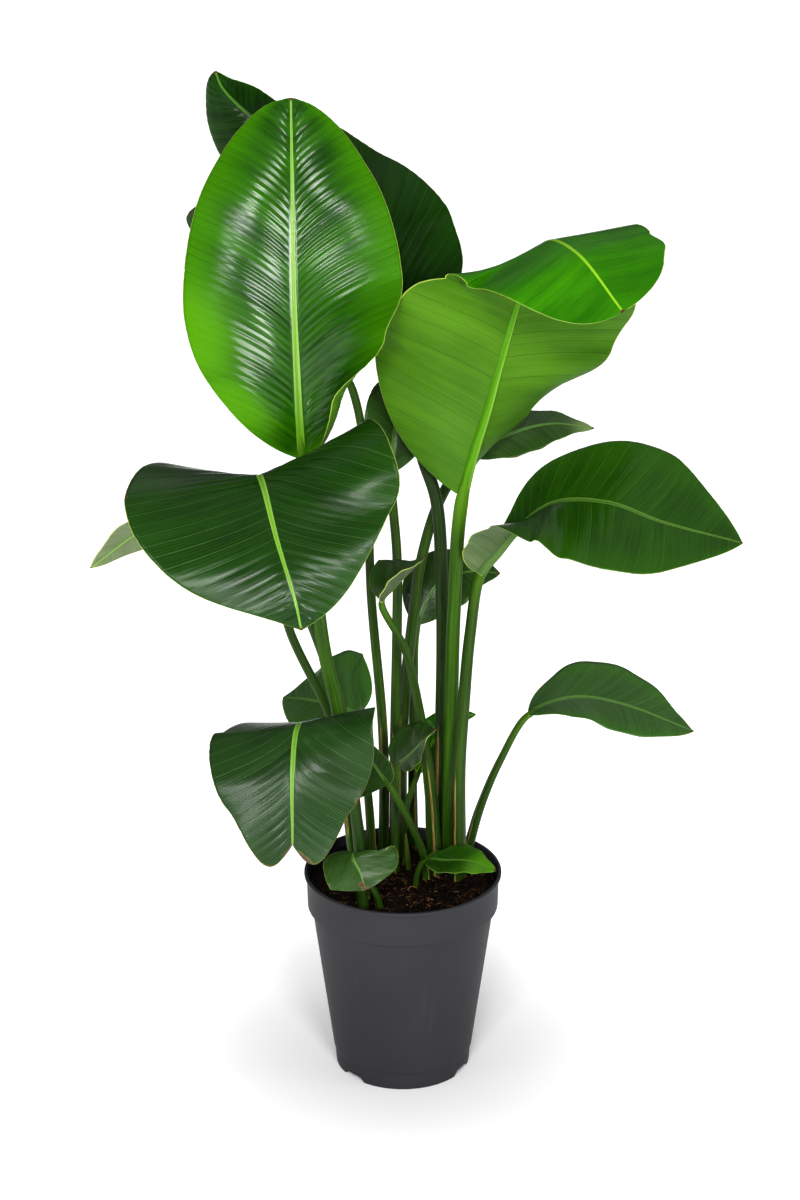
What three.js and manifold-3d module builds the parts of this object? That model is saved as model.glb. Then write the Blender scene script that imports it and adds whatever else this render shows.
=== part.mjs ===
// A bird of paradise plant in a nursery pot, in millimetres, +Z up.
// The origin is the middle of the pot's resting face. +X is the plant's right and -Y its front.
// Every leaf is a blade with its midrib, and a stalk whose sheath stands in a plain hole in the soil.

import * as THREE from 'three';
import { mergeVertices } from 'three/addons/utils/BufferGeometryUtils.js';
import Module from 'manifold-3d';

const wasm = await Module();
wasm.setup();

// ---------------------------------------------------------------- driving dimensions

const GAP = 0.3; // clearance between pieces that touch

const POT = {
  rimRadius: 120,
  height: 259,
  lipHeight: 5,
  lipThickness: 3.6,
  wall: 2.4,
  collarHeight: 46, // the upper band that a carrying tray holds
  collarInset: 3,
  stepInset: 6.5,
  ledgeHeight: 22, // the wall steps in just above the foot
  ledgeInset: 1.6,
  footSlope: 0.06,
  footRadius: 82.5,
  floorHeight: 6,
  floorThickness: 2.6,
  channelInner: 28, // the raised drainage channel of the base runs between these radii
  channelOuter: 68,
  notchTurns: [47, 172, 298], // water runs out of these low gaps in the foot, degrees from the front
  notchWidth: 34,
  notchHeight: 7,
  notchDepth: 14,
  drainCount: 6,
  drainRadius: 6,
  drainCircle: 48,
  segments: 48,
};

const SOIL = {
  top: 247,
  crumb: 2.2, // height of the lumps on its surface
  rings: 6,
  segments: 28,
};

// Young shoots that have no blade yet: root, height, radius and tilt in degrees to the right.
const SHOOTS = [
  { name: 'tall', root: [10, 22, 205], height: 92, radius: 4.2, tilt: -4 },
  { name: 'short', root: [-2, 35, 205], height: 74, radius: 3.2, tilt: 5 },
];

const BLADE = {
  thickness: 1.1,
  ribHalfWidth: 5,
  ribDepth: 7,
  tipFraction: 0.3, // the rib's size at the tip, as a share of its size at the base
  leastMargin: 1.5, // width of the blade beside the rib where it is narrowest
};
const PATH_STEPS = 400;
const ROW_EVENING = 0.12; // rows of a blade lie closer together by its base and tip
const STEP = { along: 0.004, across: 0.5 }; // short steps that find which way a blade faces
const SPREAD = 0.6; // how soon the lean of the veins sets in across a half
const RIPPLE_SHIFT = 0.4; // the two margins' waves don't meet
const UNTRIMMED = [1, 1]; // halves with the plain outline
const STALK_SIDES = 8;
const STALK_RINGS = 9;
const STALK_FLATNESS = 0.9;
const STALK_TAPER = 1.6; // above 1, most of the taper is near the root
const WAVES = 4.5; // waves along each margin

// A leaf's path runs up the stalk and on along the midrib to the tip. face lists where the blade's
// upper side looks, evenly spaced from blade base to tip. The left and the right half of the blade,
// as seen on the upper side with the tip up, have the width, the place of that width along the
// midrib, the bluntness of base and tip (small is blunt), and four lists from base to tip, in
// degrees: lift, how far the half rises at the midrib; curl, how much more it turns by its margin;
// sweep, how far the veins lean to the tip; and wave, the height of the margin's waves in mm.
// trim lists shares of the width, from base to tip, where the outline isn't an even oval.
const LEAVES = [
  {
    name: 'front_top',
    colour: 0x2f8a10,
    stalk: [
      [-47, -54, 205], [-48, -54, 262], [-58, -55, 320], [-66, -55, 402], [-76, -50, 490],
      [-91, -48, 562], [-101, -36, 640], [-110, -16, 715],
    ],
    radius: [9.5, 7.5],
    rib: [[-116, -8, 785], [-119, -8, 848], [-123, 5, 968], [-124, 30, 1084], [-126, 75, 1183]],
    face: [[0.1, -1, 0.2], [0, -1, 0.25], [0, -1, 0.5]],
    left: {
      width: 126, widest: 0.42, blunt: [0.58, 0.5],
      lift: [20, 18, 14, 8], curl: [-20, -30, -30, -30], sweep: [12, 4, 4, 2],
    },
    right: {
      width: 126, widest: 0.4, blunt: [0.5, 0.56],
      lift: [0, -20, 8, 10, 10, 8, 8], curl: [130, 160, 50, -5, -20, -25, -30], sweep: [4, 5, 4, 2],
    },
    cells: [18, 4],
  },
  {
    name: 'back_top',
    colour: 0x1b4a12,
    stalk: [
      [47, 48, 205], [46, 45, 283], [47, 42, 406], [48, 42, 530], [46, 46, 625], [39, 48, 717],
      [22, 51, 771], [8, 55, 848],
    ],
    radius: [10, 7],
    rib: [
      [-6, 60, 918], [-29, 72, 1004], [-78, 88, 1084], [-134, 100, 1133], [-177, 108, 1160],
      [-205, 112, 1188], [-213, 116, 1206],
    ],
    face: [[0.1, -1, 0.3], [0, -1, 0.4], [0, -1, 0.5]],
    left: {
      width: 110, widest: 0.4, blunt: [0.6, 0.6],
      lift: [10, 10, -20], curl: [-20, -30, -60], sweep: [0, 6, 0],
    },
    right: {
      width: 110, widest: 0.2, blunt: [0.6, 0.8],
      lift: [-5, -28, -48, -42, -15], curl: [-10, 0, 0, 0], sweep: [0, 0, 0],
      trim: [1, 1, 1.06, 1.12, 1, 0.85, 1, 1],
    },
    cells: [16, 4],
  },
  {
    name: 'arching',
    colour: 0x3f8f1c,
    stalk: [[58, 26, 205], [57, 24, 270], [57, 20, 353], [58, 13, 501], [60, 8, 592]],
    radius: [10, 8],
    rib: [
      [69, 5, 735], [100, 15, 848], [134, 25, 972], [156, 0, 1035], [190, -70, 1040],
      [237, -130, 990],
    ],
    face: [[0, 1, 0], [-0.05, 1, 0.05], [-0.2, 0.6, 0.8], [-0.25, -0.3, 0.95], [-0.1, -0.8, 0.7]],
    left: {
      width: 142, widest: 0.5, blunt: [0.7, 0.5],
      lift: [70, 38, 12, -14, -14, -14, -10], curl: [30, 20, 10, 0, 0, 5, 10], sweep: [15, 15, 10, 0],
      trim: [1, 1, 1.02, 1.12, 1.16, 1, 0.8, 0.76, 0.84, 1.08, 1.3],
    },
    right: {
      width: 148, widest: 0.2, blunt: [0.45, 0.38],
      lift: [0, 0, -12, -8, -4, -2, 0], curl: [20, 20, 0, 0, 0, 5, 10], sweep: [20, 20, 0, 0],
      trim: [1, 1, 0.97, 0.9, 0.94, 1, 1],
    },
    cells: [18, 4],
  },
  {
    name: 'front_left',
    colour: 0x1f4f1e,
    stalk: [
      [-47, -35.5, 205], [-48, -35.5, 262], [-56, -35, 340], [-66, -34, 420], [-74, -32, 487],
      [-91, -29, 547], [-119, -24, 628],
    ],
    radius: [8.5, 7],
    rib: [
      [-150, -32, 735], [-162, -66, 784], [-155, -105, 782], [-140, -148, 738], [-119, -185, 679],
      [-112, -190, 645],
    ],
    face: [[0, 0, 1], [0, -0.3, 1], [0, -1, 0.6]],
    left: {
      width: 152, widest: 0.42, blunt: [0.6, 0.8],
      lift: [20, 20, 15, 0], curl: [10, 10, 0, 0], sweep: [0, 5, 0, 0],
    },
    right: {
      width: 158, widest: 0.42, blunt: [0.6, 0.95],
      lift: [5, 3, 0, 0], curl: [0, 0, 0, 0], sweep: [0, 0, 0, 0],
    },
    cells: [18, 4],
  },
  {
    name: 'right_high',
    colour: 0x1f5a1c,
    stalk: [[69, 3, 205], [67, 1, 300], [67, -4, 397], [72, -5, 479], [79, -1, 566]],
    radius: [12, 7],
    rib: [
      [91, 5, 640], [111, 2, 669], [132, 0, 696], [174, -10, 732], [235, -30, 739], [295, -48, 722],
      [385, -75, 706],
    ],
    face: [[-0.75, -0.35, 0.6], [-0.3, -0.3, 1], [0, -0.3, 1], [0, -0.35, 1], [0, -0.35, 1]],
    left: {
      width: 98, widest: 0.6, blunt: [1.6, 0.9],
      lift: [0, 10, 15, 15, 10], curl: [0, 0, 0, 0], sweep: [0, 0, 0, 0],
    },
    right: {
      width: 105, widest: 0.45, blunt: [0.5, 0.8],
      lift: [90, 65, 45, 15, -5, -10, -8, -8, -10, -10], curl: [0, 0, 0, 0], sweep: [0, 0, 10, 0],
    },
    cells: [16, 4],
  },
  {
    name: 'right_low',
    colour: 0x23601c,
    stalk: [[72, 44, 205], [76, 42, 247], [83, 40, 278], [96, 35, 330], [118, 30, 390]],
    radius: [8, 4.5],
    rib: [[150, 20, 454], [183, 15, 474], [216, 10, 481], [265, 0, 475], [344, -25, 452]],
    face: [[-0.3, -0.3, 1], [0, -0.3, 1], [0, -0.3, 1]],
    left: {
      width: 58, widest: 0.4, blunt: [0.6, 1.05],
      lift: [0, 10, 10, 5], curl: [0, 0, 0, 0], sweep: [0, 0, 0, 0],
    },
    right: {
      width: 48, widest: 0.55, blunt: [0.7, 0.8],
      lift: [10, 5, -5, -10], curl: [0, 0, 0, 0], sweep: [0, 0, 0, 0],
    },
    ribScale: 0.7,
    cells: [12, 3],
  },
  {
    name: 'far_left',
    colour: 0x2a5a22,
    stalk: [
      [-47, -19, 205], [-48, -19, 262], [-60, -17, 340], [-74, -15, 419], [-89, -12, 474],
      [-130, 0, 562],
    ],
    radius: [7.5, 6],
    rib: [[-165, 30, 660], [-228, 60, 687], [-302, 85, 670], [-376, 95, 614]],
    face: [[0.2, 0.5, 1], [0, 0.7, 0.8], [-0.3, 0.8, 0.6]],
    left: {
      width: 50, widest: 0.42, blunt: [0.7, 0.8],
      lift: [-10, -10, -10], curl: [0, 0, 0], sweep: [0, 5, 0],
    },
    right: {
      width: 50, widest: 0.42, blunt: [0.7, 0.8],
      lift: [0, 0, 0], curl: [0, 0, 0], sweep: [0, 5, 0],
    },
    ribScale: 0.7,
    cells: [12, 3],
  },
  {
    name: 'back_left',
    colour: 0x1f4f1e,
    stalk: [[-24, 70, 205], [-24, 70, 403], [-38, 68, 590], [-44, 72, 760]],
    radius: [7, 5],
    rib: [[-62, 80, 850], [-110, 110, 927], [-180, 140, 1000], [-250, 155, 1035]],
    face: [[0.2, -0.8, 0.5], [0.2, -0.6, 1], [0, -0.3, 1]],
    left: {
      width: 80, widest: 0.5, blunt: [0.7, 0.45],
      lift: [20, 15, 5], curl: [0, 0, 0], sweep: [0, 5, 0],
    },
    right: {
      width: 80, widest: 0.5, blunt: [0.7, 0.45],
      lift: [20, 15, 5], curl: [0, 0, 0], sweep: [0, 5, 0],
    },
    ribScale: 0.7,
    cells: [12, 3],
  },
  {
    name: 'middle_high',
    colour: 0x1f4f1e,
    stalk: [[-9, 62, 205], [-9, 62, 406], [-7, 58, 546], [-7, 58, 642]],
    radius: [8, 5.5],
    rib: [[-14, 60, 745], [-10, 75, 790], [-6, 95, 830], [0, 125, 855]],
    face: [[0.2, -0.8, 0.5], [0.2, -0.6, 1], [0, -0.3, 1]],
    left: {
      width: 40, widest: 0.42, blunt: [0.7, 0.8],
      lift: [20, 15, 5], curl: [0, 0, 0], sweep: [0, 5, 0],
    },
    right: {
      width: 40, widest: 0.42, blunt: [0.7, 0.8],
      lift: [20, 15, 5], curl: [0, 0, 0], sweep: [0, 5, 0],
    },
    ribScale: 0.7,
    cells: [12, 3],
  },
  {
    name: 'right_back',
    colour: 0x1f4f1e,
    stalk: [[-2, 80, 205], [-2, 78, 372], [3, 72, 466], [13, 68, 567], [23, 66, 640], [44, 70, 709]],
    radius: [9, 6.5],
    rib: [[77, 75, 760], [120, 88, 782], [174, 98, 794], [226, 100, 788]],
    face: [[0, -0.3, 1], [0, -0.3, 1], [0, -0.3, 1]],
    left: {
      width: 36, widest: 0.42, blunt: [0.7, 0.9],
      lift: [0, 0, 0], curl: [0, 0, 0], sweep: [0, 5, 0],
    },
    right: {
      width: 36, widest: 0.42, blunt: [0.7, 0.9],
      lift: [-20, -15, -5], curl: [0, 0, 0], sweep: [0, 5, 0],
    },
    ribScale: 0.7,
    cells: [12, 3],
  },
  {
    name: 'middle_curled',
    colour: 0x2f4f2e,
    stalk: [[40, 12, 205], [38, 16, 290], [33, 24, 362], [20, 30, 453], [2, -6, 550]],
    radius: [11, 4.5],
    rib: [[-25, -30, 619], [-13, -34, 636], [6, -34, 656], [25, -28, 672]],
    face: [[-0.6, -0.7, 0.3], [-0.6, -0.6, 0.5], [-0.4, -0.4, 1]],
    left: {
      width: 44, widest: 0.3, blunt: [0.5, 0.9],
      lift: [10, 0, 0], curl: [0, -40, -40], sweep: [10, 5, 0],
    },
    right: {
      width: 28, widest: 0.42, blunt: [0.7, 0.8],
      lift: [40, 40, 20], curl: [60, 60, 20], sweep: [0, 5, 0],
    },
    ribScale: 0.55,
    cells: [10, 3],
  },
  {
    name: 'middle_back',
    colour: 0x2f4f2e,
    stalk: [[14, 88, 205], [12, 92, 377], [14, 88, 465]],
    radius: [7, 4.5],
    rib: [[18, 88, 543], [40, 104, 587], [75, 117, 600], [118, 120, 598]],
    face: [[0, -0.6, 1], [0, -0.6, 1], [0, -0.6, 1]],
    left: {
      width: 40, widest: 0.42, blunt: [0.7, 0.8],
      lift: [20, 15, 5], curl: [0, 0, 0], sweep: [0, 5, 0],
    },
    right: {
      width: 40, widest: 0.42, blunt: [0.7, 0.8],
      lift: [-20, -15, -5], curl: [0, 0, 0], sweep: [0, 5, 0],
    },
    ribScale: 0.55,
    cells: [10, 3],
  },
  {
    name: 'left_back',
    colour: 0x2f4f2e,
    stalk: [[-36, 40, 205], [-42, 43, 332]],
    radius: [7, 4.5],
    rib: [[-56, 30, 448], [-82, 48, 454], [-113, 75, 450], [-147, 110, 439]],
    face: [[0, -0.5, 0.85], [0, -0.5, 0.85], [0, -0.5, 0.85]],
    left: {
      width: 45, widest: 0.42, blunt: [0.6, 0.8],
      lift: [-20, -20, -5], curl: [0, 0, 0], sweep: [0, 5, 0],
    },
    right: {
      width: 74, widest: 0.3, blunt: [0.5, 0.8],
      lift: [20, 20, 5], curl: [0, 0, 0], sweep: [0, 0, 0],
    },
    ribScale: 0.55,
    cells: [10, 3],
  },
  {
    name: 'left_low',
    colour: 0x1f4f1e,
    stalk: [[-47, -72, 205], [-48, -72, 262], [-53, -72, 330], [-62, -72, 400]],
    radius: [7.5, 6],
    rib: [[-85, -70, 467], [-113, -95, 494], [-121, -120, 497], [-126, -150, 458], [-126, -180, 378]],
    face: [[0, 0, 1], [0, -0.5, 1], [0, -1, 0.5]],
    left: {
      width: 97, widest: 0.4, blunt: [0.5, 0.7],
      lift: [30, 25, 5, 0], curl: [0, -10, 0], sweep: [0, 0, 0, 10, 60],
    },
    right: {
      width: 104, widest: 0.4, blunt: [0.5, 0.7],
      lift: [-30, -18, -5, 0], curl: [0, 0, 0], sweep: [0, 0, 0, 10, 60],
    },
    cells: [14, 4],
  },
  {
    name: 'middle_low',
    colour: 0x1f4f1e,
    stalk: [[28, -3, 205], [26, -5, 275], [6, -10, 331]],
    radius: [6, 4.5],
    rib: [[-17, -8, 375], [-30, 0, 391], [-41, 6, 406], [-56, 10, 424]],
    face: [[-0.3, -1, 0.3], [-0.3, -1, 0.3], [-0.3, -1, 0.5]],
    left: {
      width: 52, widest: 0.3, blunt: [0.5, 0.8],
      lift: [0, 0, 0], curl: [0, 0, 0], sweep: [0, 0, 0],
    },
    right: {
      width: 22, widest: 0.3, blunt: [0.5, 0.8],
      lift: [20, 20, 0], curl: [0, 0, 0], sweep: [0, 0, 0],
    },
    ribScale: 0.55,
    cells: [10, 3],
  },
  {
    name: 'middle_folded',
    colour: 0x1f4f1e,
    stalk: [[-9, 20, 205], [-9, 21, 303], [-9, 19, 355]],
    radius: [6, 4.5],
    rib: [[-7, 14, 388], [6, 0, 408], [23, -16, 434], [39, -28, 456]],
    face: [[-0.5, -0.7, 0.5], [-0.5, -0.6, 0.6], [-0.4, -0.4, 1]],
    left: {
      width: 42, widest: 0.3, blunt: [0.5, 0.9],
      lift: [10, 0, 0], curl: [0, -30, -30], sweep: [0, 5, 0],
    },
    right: {
      width: 20, widest: 0.42, blunt: [0.7, 0.8],
      lift: [0, 0, 20], curl: [0, 0, 20], sweep: [0, 5, 0],
    },
    ribScale: 0.55,
    cells: [10, 3],
  },
  {
    name: 'right_small',
    colour: 0x2f7a1e,
    stalk: [[3, 50, 205], [3, 50, 310]],
    radius: [5, 3.5],
    rib: [[19, 56, 361], [34, 66, 393], [60, 74, 423], [89, 78, 430]],
    face: [[0, -0.6, 1], [0, -0.6, 1], [0, -0.3, 1]],
    left: {
      width: 25, widest: 0.42, blunt: [0.7, 0.8],
      lift: [20, 15, 5], curl: [0, 0, 0], sweep: [0, 5, 0],
    },
    right: {
      width: 25, widest: 0.42, blunt: [0.7, 0.8],
      lift: [0, 0, 5], curl: [0, 0, 0], sweep: [0, 5, 0],
    },
    ribScale: 0.55,
    cells: [10, 3],
  },
  {
    name: 'pot_left',
    colour: 0x1f4f1e,
    stalk: [[-26, -76, 205], [-30, -82, 262], [-52, -86, 301]],
    radius: [6, 4],
    rib: [[-60, -91, 325], [-59, -101, 322], [-50, -110, 307], [-44, -115, 288]],
    face: [[0, -0.3, 1], [0, -0.5, 1], [0, -0.8, 1]],
    left: {
      width: 52, widest: 0.42, blunt: [0.6, 0.7],
      lift: [10, 10, 5], curl: [0, 0, 0], sweep: [0, 5, 0],
    },
    right: {
      width: 46, widest: 0.42, blunt: [0.6, 0.7],
      lift: [10, 10, 5], curl: [0, 0, 0], sweep: [0, 5, 0],
    },
    ribScale: 0.48,
    cells: [10, 3],
  },
  {
    name: 'pot_right',
    colour: 0x2f8a10,
    stalk: [[16, -22, 205], [17, -24, 262]],
    radius: [5, 4],
    rib: [[27, -32, 286], [50, -45, 292], [80, -57, 297], [111, -65, 289]],
    face: [[0, -0.3, 1], [0, -0.3, 1], [0, -0.3, 1]],
    left: {
      width: 25, widest: 0.42, blunt: [0.7, 0.8],
      lift: [10, 10, 5], curl: [0, 0, 0], sweep: [0, 5, 0],
    },
    right: {
      width: 30, widest: 0.42, blunt: [0.7, 0.8],
      lift: [10, 10, 5], curl: [0, 0, 0], sweep: [0, 5, 0],
    },
    ribScale: 0.55,
    cells: [10, 3],
  },
];

// ---------------------------------------------------------------- small helpers

const toRadians = Math.PI / 180;
const vector = (p) => new THREE.Vector3(...p);
const material = (colour, roughness = 0.5) =>
  new THREE.MeshStandardMaterial({ color: colour, roughness, metalness: 0 });

// Value at fraction s of a list of evenly spaced values, eased between neighbours.
function along(values, s) {
  const place = THREE.MathUtils.clamp(s, 0, 1) * (values.length - 1);
  const i = Math.min(Math.floor(place), values.length - 2);
  const t = THREE.MathUtils.smoothstep(place - i, 0, 1);
  return values[i] + (values[i + 1] - values[i]) * t;
}

function geometryOf(points, triangles) {
  const geometry = new THREE.BufferGeometry();
  const numbers = points.flatMap((p) => [p.x, p.y, p.z]);
  geometry.setAttribute('position', new THREE.Float32BufferAttribute(numbers, 3));
  geometry.setIndex(triangles.flat());
  geometry.computeVertexNormals();
  return geometry;
}

function solidOf(geometry) {
  const plain = geometry.clone();
  plain.deleteAttribute('normal');
  plain.deleteAttribute('uv');
  const merged = mergeVertices(plain, 1e-4);
  return new wasm.Manifold(new wasm.Mesh({
    numProp: 3,
    vertProperties: new Float32Array(merged.attributes.position.array),
    triVerts: new Uint32Array(merged.index.array),
  }));
}

function geometryFrom(solid) {
  const mesh = solid.getMesh();
  const geometry = new THREE.BufferGeometry();
  geometry.setAttribute('position', new THREE.Float32BufferAttribute(mesh.vertProperties, 3));
  geometry.setIndex([...mesh.triVerts]);
  geometry.computeVertexNormals();
  return geometry;
}

function addMesh(group, name, geometry, finish) {
  const mesh = new THREE.Mesh(geometry, finish);
  mesh.name = name;
  group.add(mesh);
}

// ---------------------------------------------------------------- leaves

// The path of a leaf with its length, and the length at which the stalk ends and the blade begins.
class LeafPath {
  constructor(leaf) {
    const points = [...leaf.stalk, ...leaf.rib].map(vector);
    this.curve = new THREE.CatmullRomCurve3(points, false, 'centripetal');
    this.curve.arcLengthDivisions = PATH_STEPS;
    const lengths = this.curve.getLengths();
    this.length = lengths[PATH_STEPS];
    const step = (leaf.stalk.length / (points.length - 1)) * PATH_STEPS;
    const i = Math.floor(step);
    this.base = lengths[i] + (lengths[i + 1] - lengths[i]) * (step - i);
    this.face = leaf.face;
  }

  point(distance) {
    return this.curve.getPointAt(THREE.MathUtils.clamp(distance / this.length, 0, 1));
  }

  tangent(distance) {
    return this.curve.getTangentAt(THREE.MathUtils.clamp(distance / this.length, 0, 1)).normalize();
  }

  // Frame of the blade at fraction s of the midrib: place, forward, side to the right and upper face.
  bladeFrame(s) {
    const distance = this.base + s * (this.length - this.base);
    const forward = this.tangent(distance);
    const look = new THREE.Vector3(...[0, 1, 2].map((k) => along(this.face.map((f) => f[k]), s)));
    const up = look.addScaledVector(forward, -look.dot(forward)).normalize();
    const side = new THREE.Vector3().crossVectors(forward, up);
    return { place: this.point(distance), forward, side, up };
  }
}

// Half-width of one half of the blade at fraction s of the midrib.
function halfWidthAt(half, s) {
  const [base, tip] = half.blunt;
  const rise = Math.sin((Math.min(s / half.widest, 1) * Math.PI) / 2);
  const fall = Math.sin((Math.min((1 - s) / (1 - half.widest), 1) * Math.PI) / 2);
  return half.width * rise ** base * fall ** tip * along(half.trim ?? UNTRIMMED, s);
}

// Point of the blade's middle surface at fraction s of the midrib and distance d across, signed.
function bladePoint(leaf, path, s, d, halfWidth) {
  const { place, forward, side, up } = path.bladeFrame(s);
  const half = d < 0 ? leaf.left : leaf.right;
  const reach = Math.abs(d);
  const out = reach / halfWidth;
  const start = along(half.lift, s) * toRadians;
  const turn = along(half.curl, s) * toRadians * out;
  const end = start + turn;
  const straight = Math.abs(turn) < 1e-4;
  const across = straight ? reach * Math.cos(start) : (reach * (Math.sin(end) - Math.sin(start))) / turn;
  const rise = straight ? reach * Math.sin(start) : (reach * (Math.cos(start) - Math.cos(end))) / turn;
  const lean = reach * out ** SPREAD * Math.tan(along(half.sweep, s) * toRadians);
  const ripple = Math.sin(2 * Math.PI * (WAVES * s + (d < 0 ? 0 : RIPPLE_SHIFT))) * out ** 3;
  return place
    .clone()
    .addScaledVector(side, Math.sign(d) * across)
    .addScaledVector(up, rise + ripple * along(half.wave ?? [1, 1], s))
    .addScaledVector(forward, lean);
}

// Rib size at fraction s of the midrib, as a share of its size at the base of a large blade.
function ribShare(leaf, s) {
  return (leaf.ribScale ?? 1) * (1 - (1 - BLADE.tipFraction) * s);
}

// Upper side of the blade at a grid cell. It is found from two short steps along the surface.
function bladeNormal(leaf, path, cell) {
  const { s, d, halfWidth } = cell;
  const { up } = path.bladeFrame(s);
  if (d === 0) return up;
  const middle = bladePoint(leaf, path, s, d, halfWidth);
  const ahead = s > 0.5 ? -STEP.along : STEP.along;
  const inward = d > 0 ? -STEP.across : STEP.across;
  const forward = bladePoint(leaf, path, s + ahead, d, halfWidth).sub(middle);
  const across = bladePoint(leaf, path, s, d + inward, halfWidth).sub(middle);
  return across.cross(forward).multiplyScalar(Math.sign(ahead * inward)).normalize();
}

// A blade is a grid of cells on both faces. Its middle column carries the keel of the midrib, and
// the columns beside that are the rib's edges.
function bladeGeometry(leaf, path) {
  const [rows, cells] = leaf.cells;
  const columns = 2 * cells + 2;
  const top = [];
  const bottom = [];
  for (let i = 0; i <= rows; i += 1) {
    const evening = 1 - ROW_EVENING * Math.sin((2 * Math.PI * i) / rows) ** 2;
    const s = 0.5 - 0.5 * Math.cos((Math.PI * i) / rows) * evening;
    const ribHalf = BLADE.ribHalfWidth * ribShare(leaf, s);
    for (let j = 0; j <= columns; j += 1) {
      const half = j <= cells ? leaf.left : leaf.right;
      const halfWidth = Math.max(halfWidthAt(half, s), ribHalf + BLADE.leastMargin);
      const step = Math.abs(j - cells - 1) - 1;
      const onKeel = step < 0;
      const reach = onKeel ? 0 : ribHalf + ((halfWidth - ribHalf) * step) / cells;
      const cell = { s, d: j <= cells ? -reach : reach, halfWidth };
      const middle = bladePoint(leaf, path, s, cell.d, halfWidth);
      const normal = bladeNormal(leaf, path, cell);
      const keel = onKeel ? BLADE.ribDepth * ribShare(leaf, s) : 0;
      top.push(middle.clone().addScaledVector(normal, BLADE.thickness / 2));
      bottom.push(middle.clone().addScaledVector(normal, -BLADE.thickness / 2 - keel));
    }
  }
  const width = columns + 1;
  const count = top.length;
  const triangles = [];
  const quad = (a, b, c, d) => triangles.push([a, b, c], [a, c, d]);
  for (let i = 0; i < rows; i += 1) {
    for (let j = 0; j < columns; j += 1) {
      const a = i * width + j;
      const b = a + 1;
      const c = b + width;
      const d = a + width;
      // Both faces split along the same diagonal, so that a twisted cell keeps its thickness.
      quad(a, b, c, d);
      quad(count + c, count + b, count + a, count + d);
    }
  }
  for (let i = 0; i < rows; i += 1) {
    const left = i * width;
    const right = left + columns;
    quad(left, left + width, count + left + width, count + left);
    quad(right + width, right, count + right, count + right + width);
  }
  for (let j = 0; j < columns; j += 1) {
    const last = rows * width + j;
    quad(j + 1, j, count + j, count + j + 1);
    quad(last, last + 1, count + last + 1, count + last);
  }
  return geometryOf([...top, ...bottom], triangles);
}

// A tapered stalk, slightly flat on the side that the blade's upper face looks to. extra makes it
// that much larger, for the hole that it stands in.
function stalkGeometry(leaf, path, extra = 0) {
  const end = path.base - 2 * GAP;
  const rings = STALK_RINGS;
  let { up } = path.bladeFrame(0);
  const sections = [];
  for (let i = rings; i >= 0; i -= 1) {
    const t = i / rings;
    const distance = end * t;
    const forward = path.tangent(distance);
    up = up.clone().addScaledVector(forward, -up.dot(forward)).normalize();
    const side = new THREE.Vector3().crossVectors(forward, up);
    sections.unshift({ place: path.point(distance), forward, up, side, t });
  }
  const points = [];
  sections.forEach(({ place, forward, up: face, side, t }, i) => {
    const [root, top] = leaf.radius;
    const radius = top + (root - top) * (1 - t) ** STALK_TAPER + extra;
    const centre = place.clone();
    if (i === 0) centre.addScaledVector(forward, -extra);
    for (let k = 0; k < STALK_SIDES; k += 1) {
      const angle = (2 * Math.PI * (k + 0.5)) / STALK_SIDES;
      points.push(centre.clone()
        .addScaledVector(side, Math.cos(angle) * radius)
        .addScaledVector(face, Math.sin(angle) * radius * STALK_FLATNESS));
    }
  });
  const triangles = [];
  for (let i = 0; i < rings; i += 1) {
    for (let k = 0; k < STALK_SIDES; k += 1) {
      const a = i * STALK_SIDES + k;
      const b = i * STALK_SIDES + ((k + 1) % STALK_SIDES);
      triangles.push([a, b + STALK_SIDES, b], [a, a + STALK_SIDES, b + STALK_SIDES]);
    }
  }
  const last = rings * STALK_SIDES;
  for (let k = 1; k < STALK_SIDES - 1; k += 1) {
    triangles.push([0, k, k + 1]);
    triangles.push([last, last + k + 1, last + k]);
  }
  return geometryOf(points, triangles);
}

// A pointed shoot that stands in the soil.
function shootGeometry(shoot, extra = 0) {
  const radius = shoot.radius + extra;
  const profile = [[0, -extra], [radius, -extra], [radius * 0.95, 0.6], [radius * 0.6, 0.88], [0, 1]];
  const points = profile.map(([r, z]) => new THREE.Vector2(r, z < 0 ? z : z * shoot.height));
  const spear = new THREE.LatheGeometry(points, STALK_SIDES);
  spear.rotateX(Math.PI / 2);
  spear.rotateY(shoot.tilt * toRadians);
  spear.translate(...shoot.root);
  return spear;
}

// ---------------------------------------------------------------- pot and soil

// Radius and height of the pot's inner wall, from the rim down to the middle of the floor.
function potInside() {
  const p = POT;
  const collarBottom = p.height - p.collarHeight;
  const collarRadius = p.rimRadius - p.collarInset;
  return [
    [p.rimRadius - p.lipThickness, p.height],
    [collarRadius - p.wall, p.height - p.lipHeight],
    [collarRadius - 1 - p.wall, collarBottom + 1 + p.wall],
    [collarRadius - p.stepInset - p.wall, collarBottom - 3],
    [p.footRadius - 1, p.floorHeight + 4],
    [p.footRadius - 4, p.floorHeight],
    [p.channelOuter + 2, p.floorHeight],
    [0, p.floorHeight],
  ];
}

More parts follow.
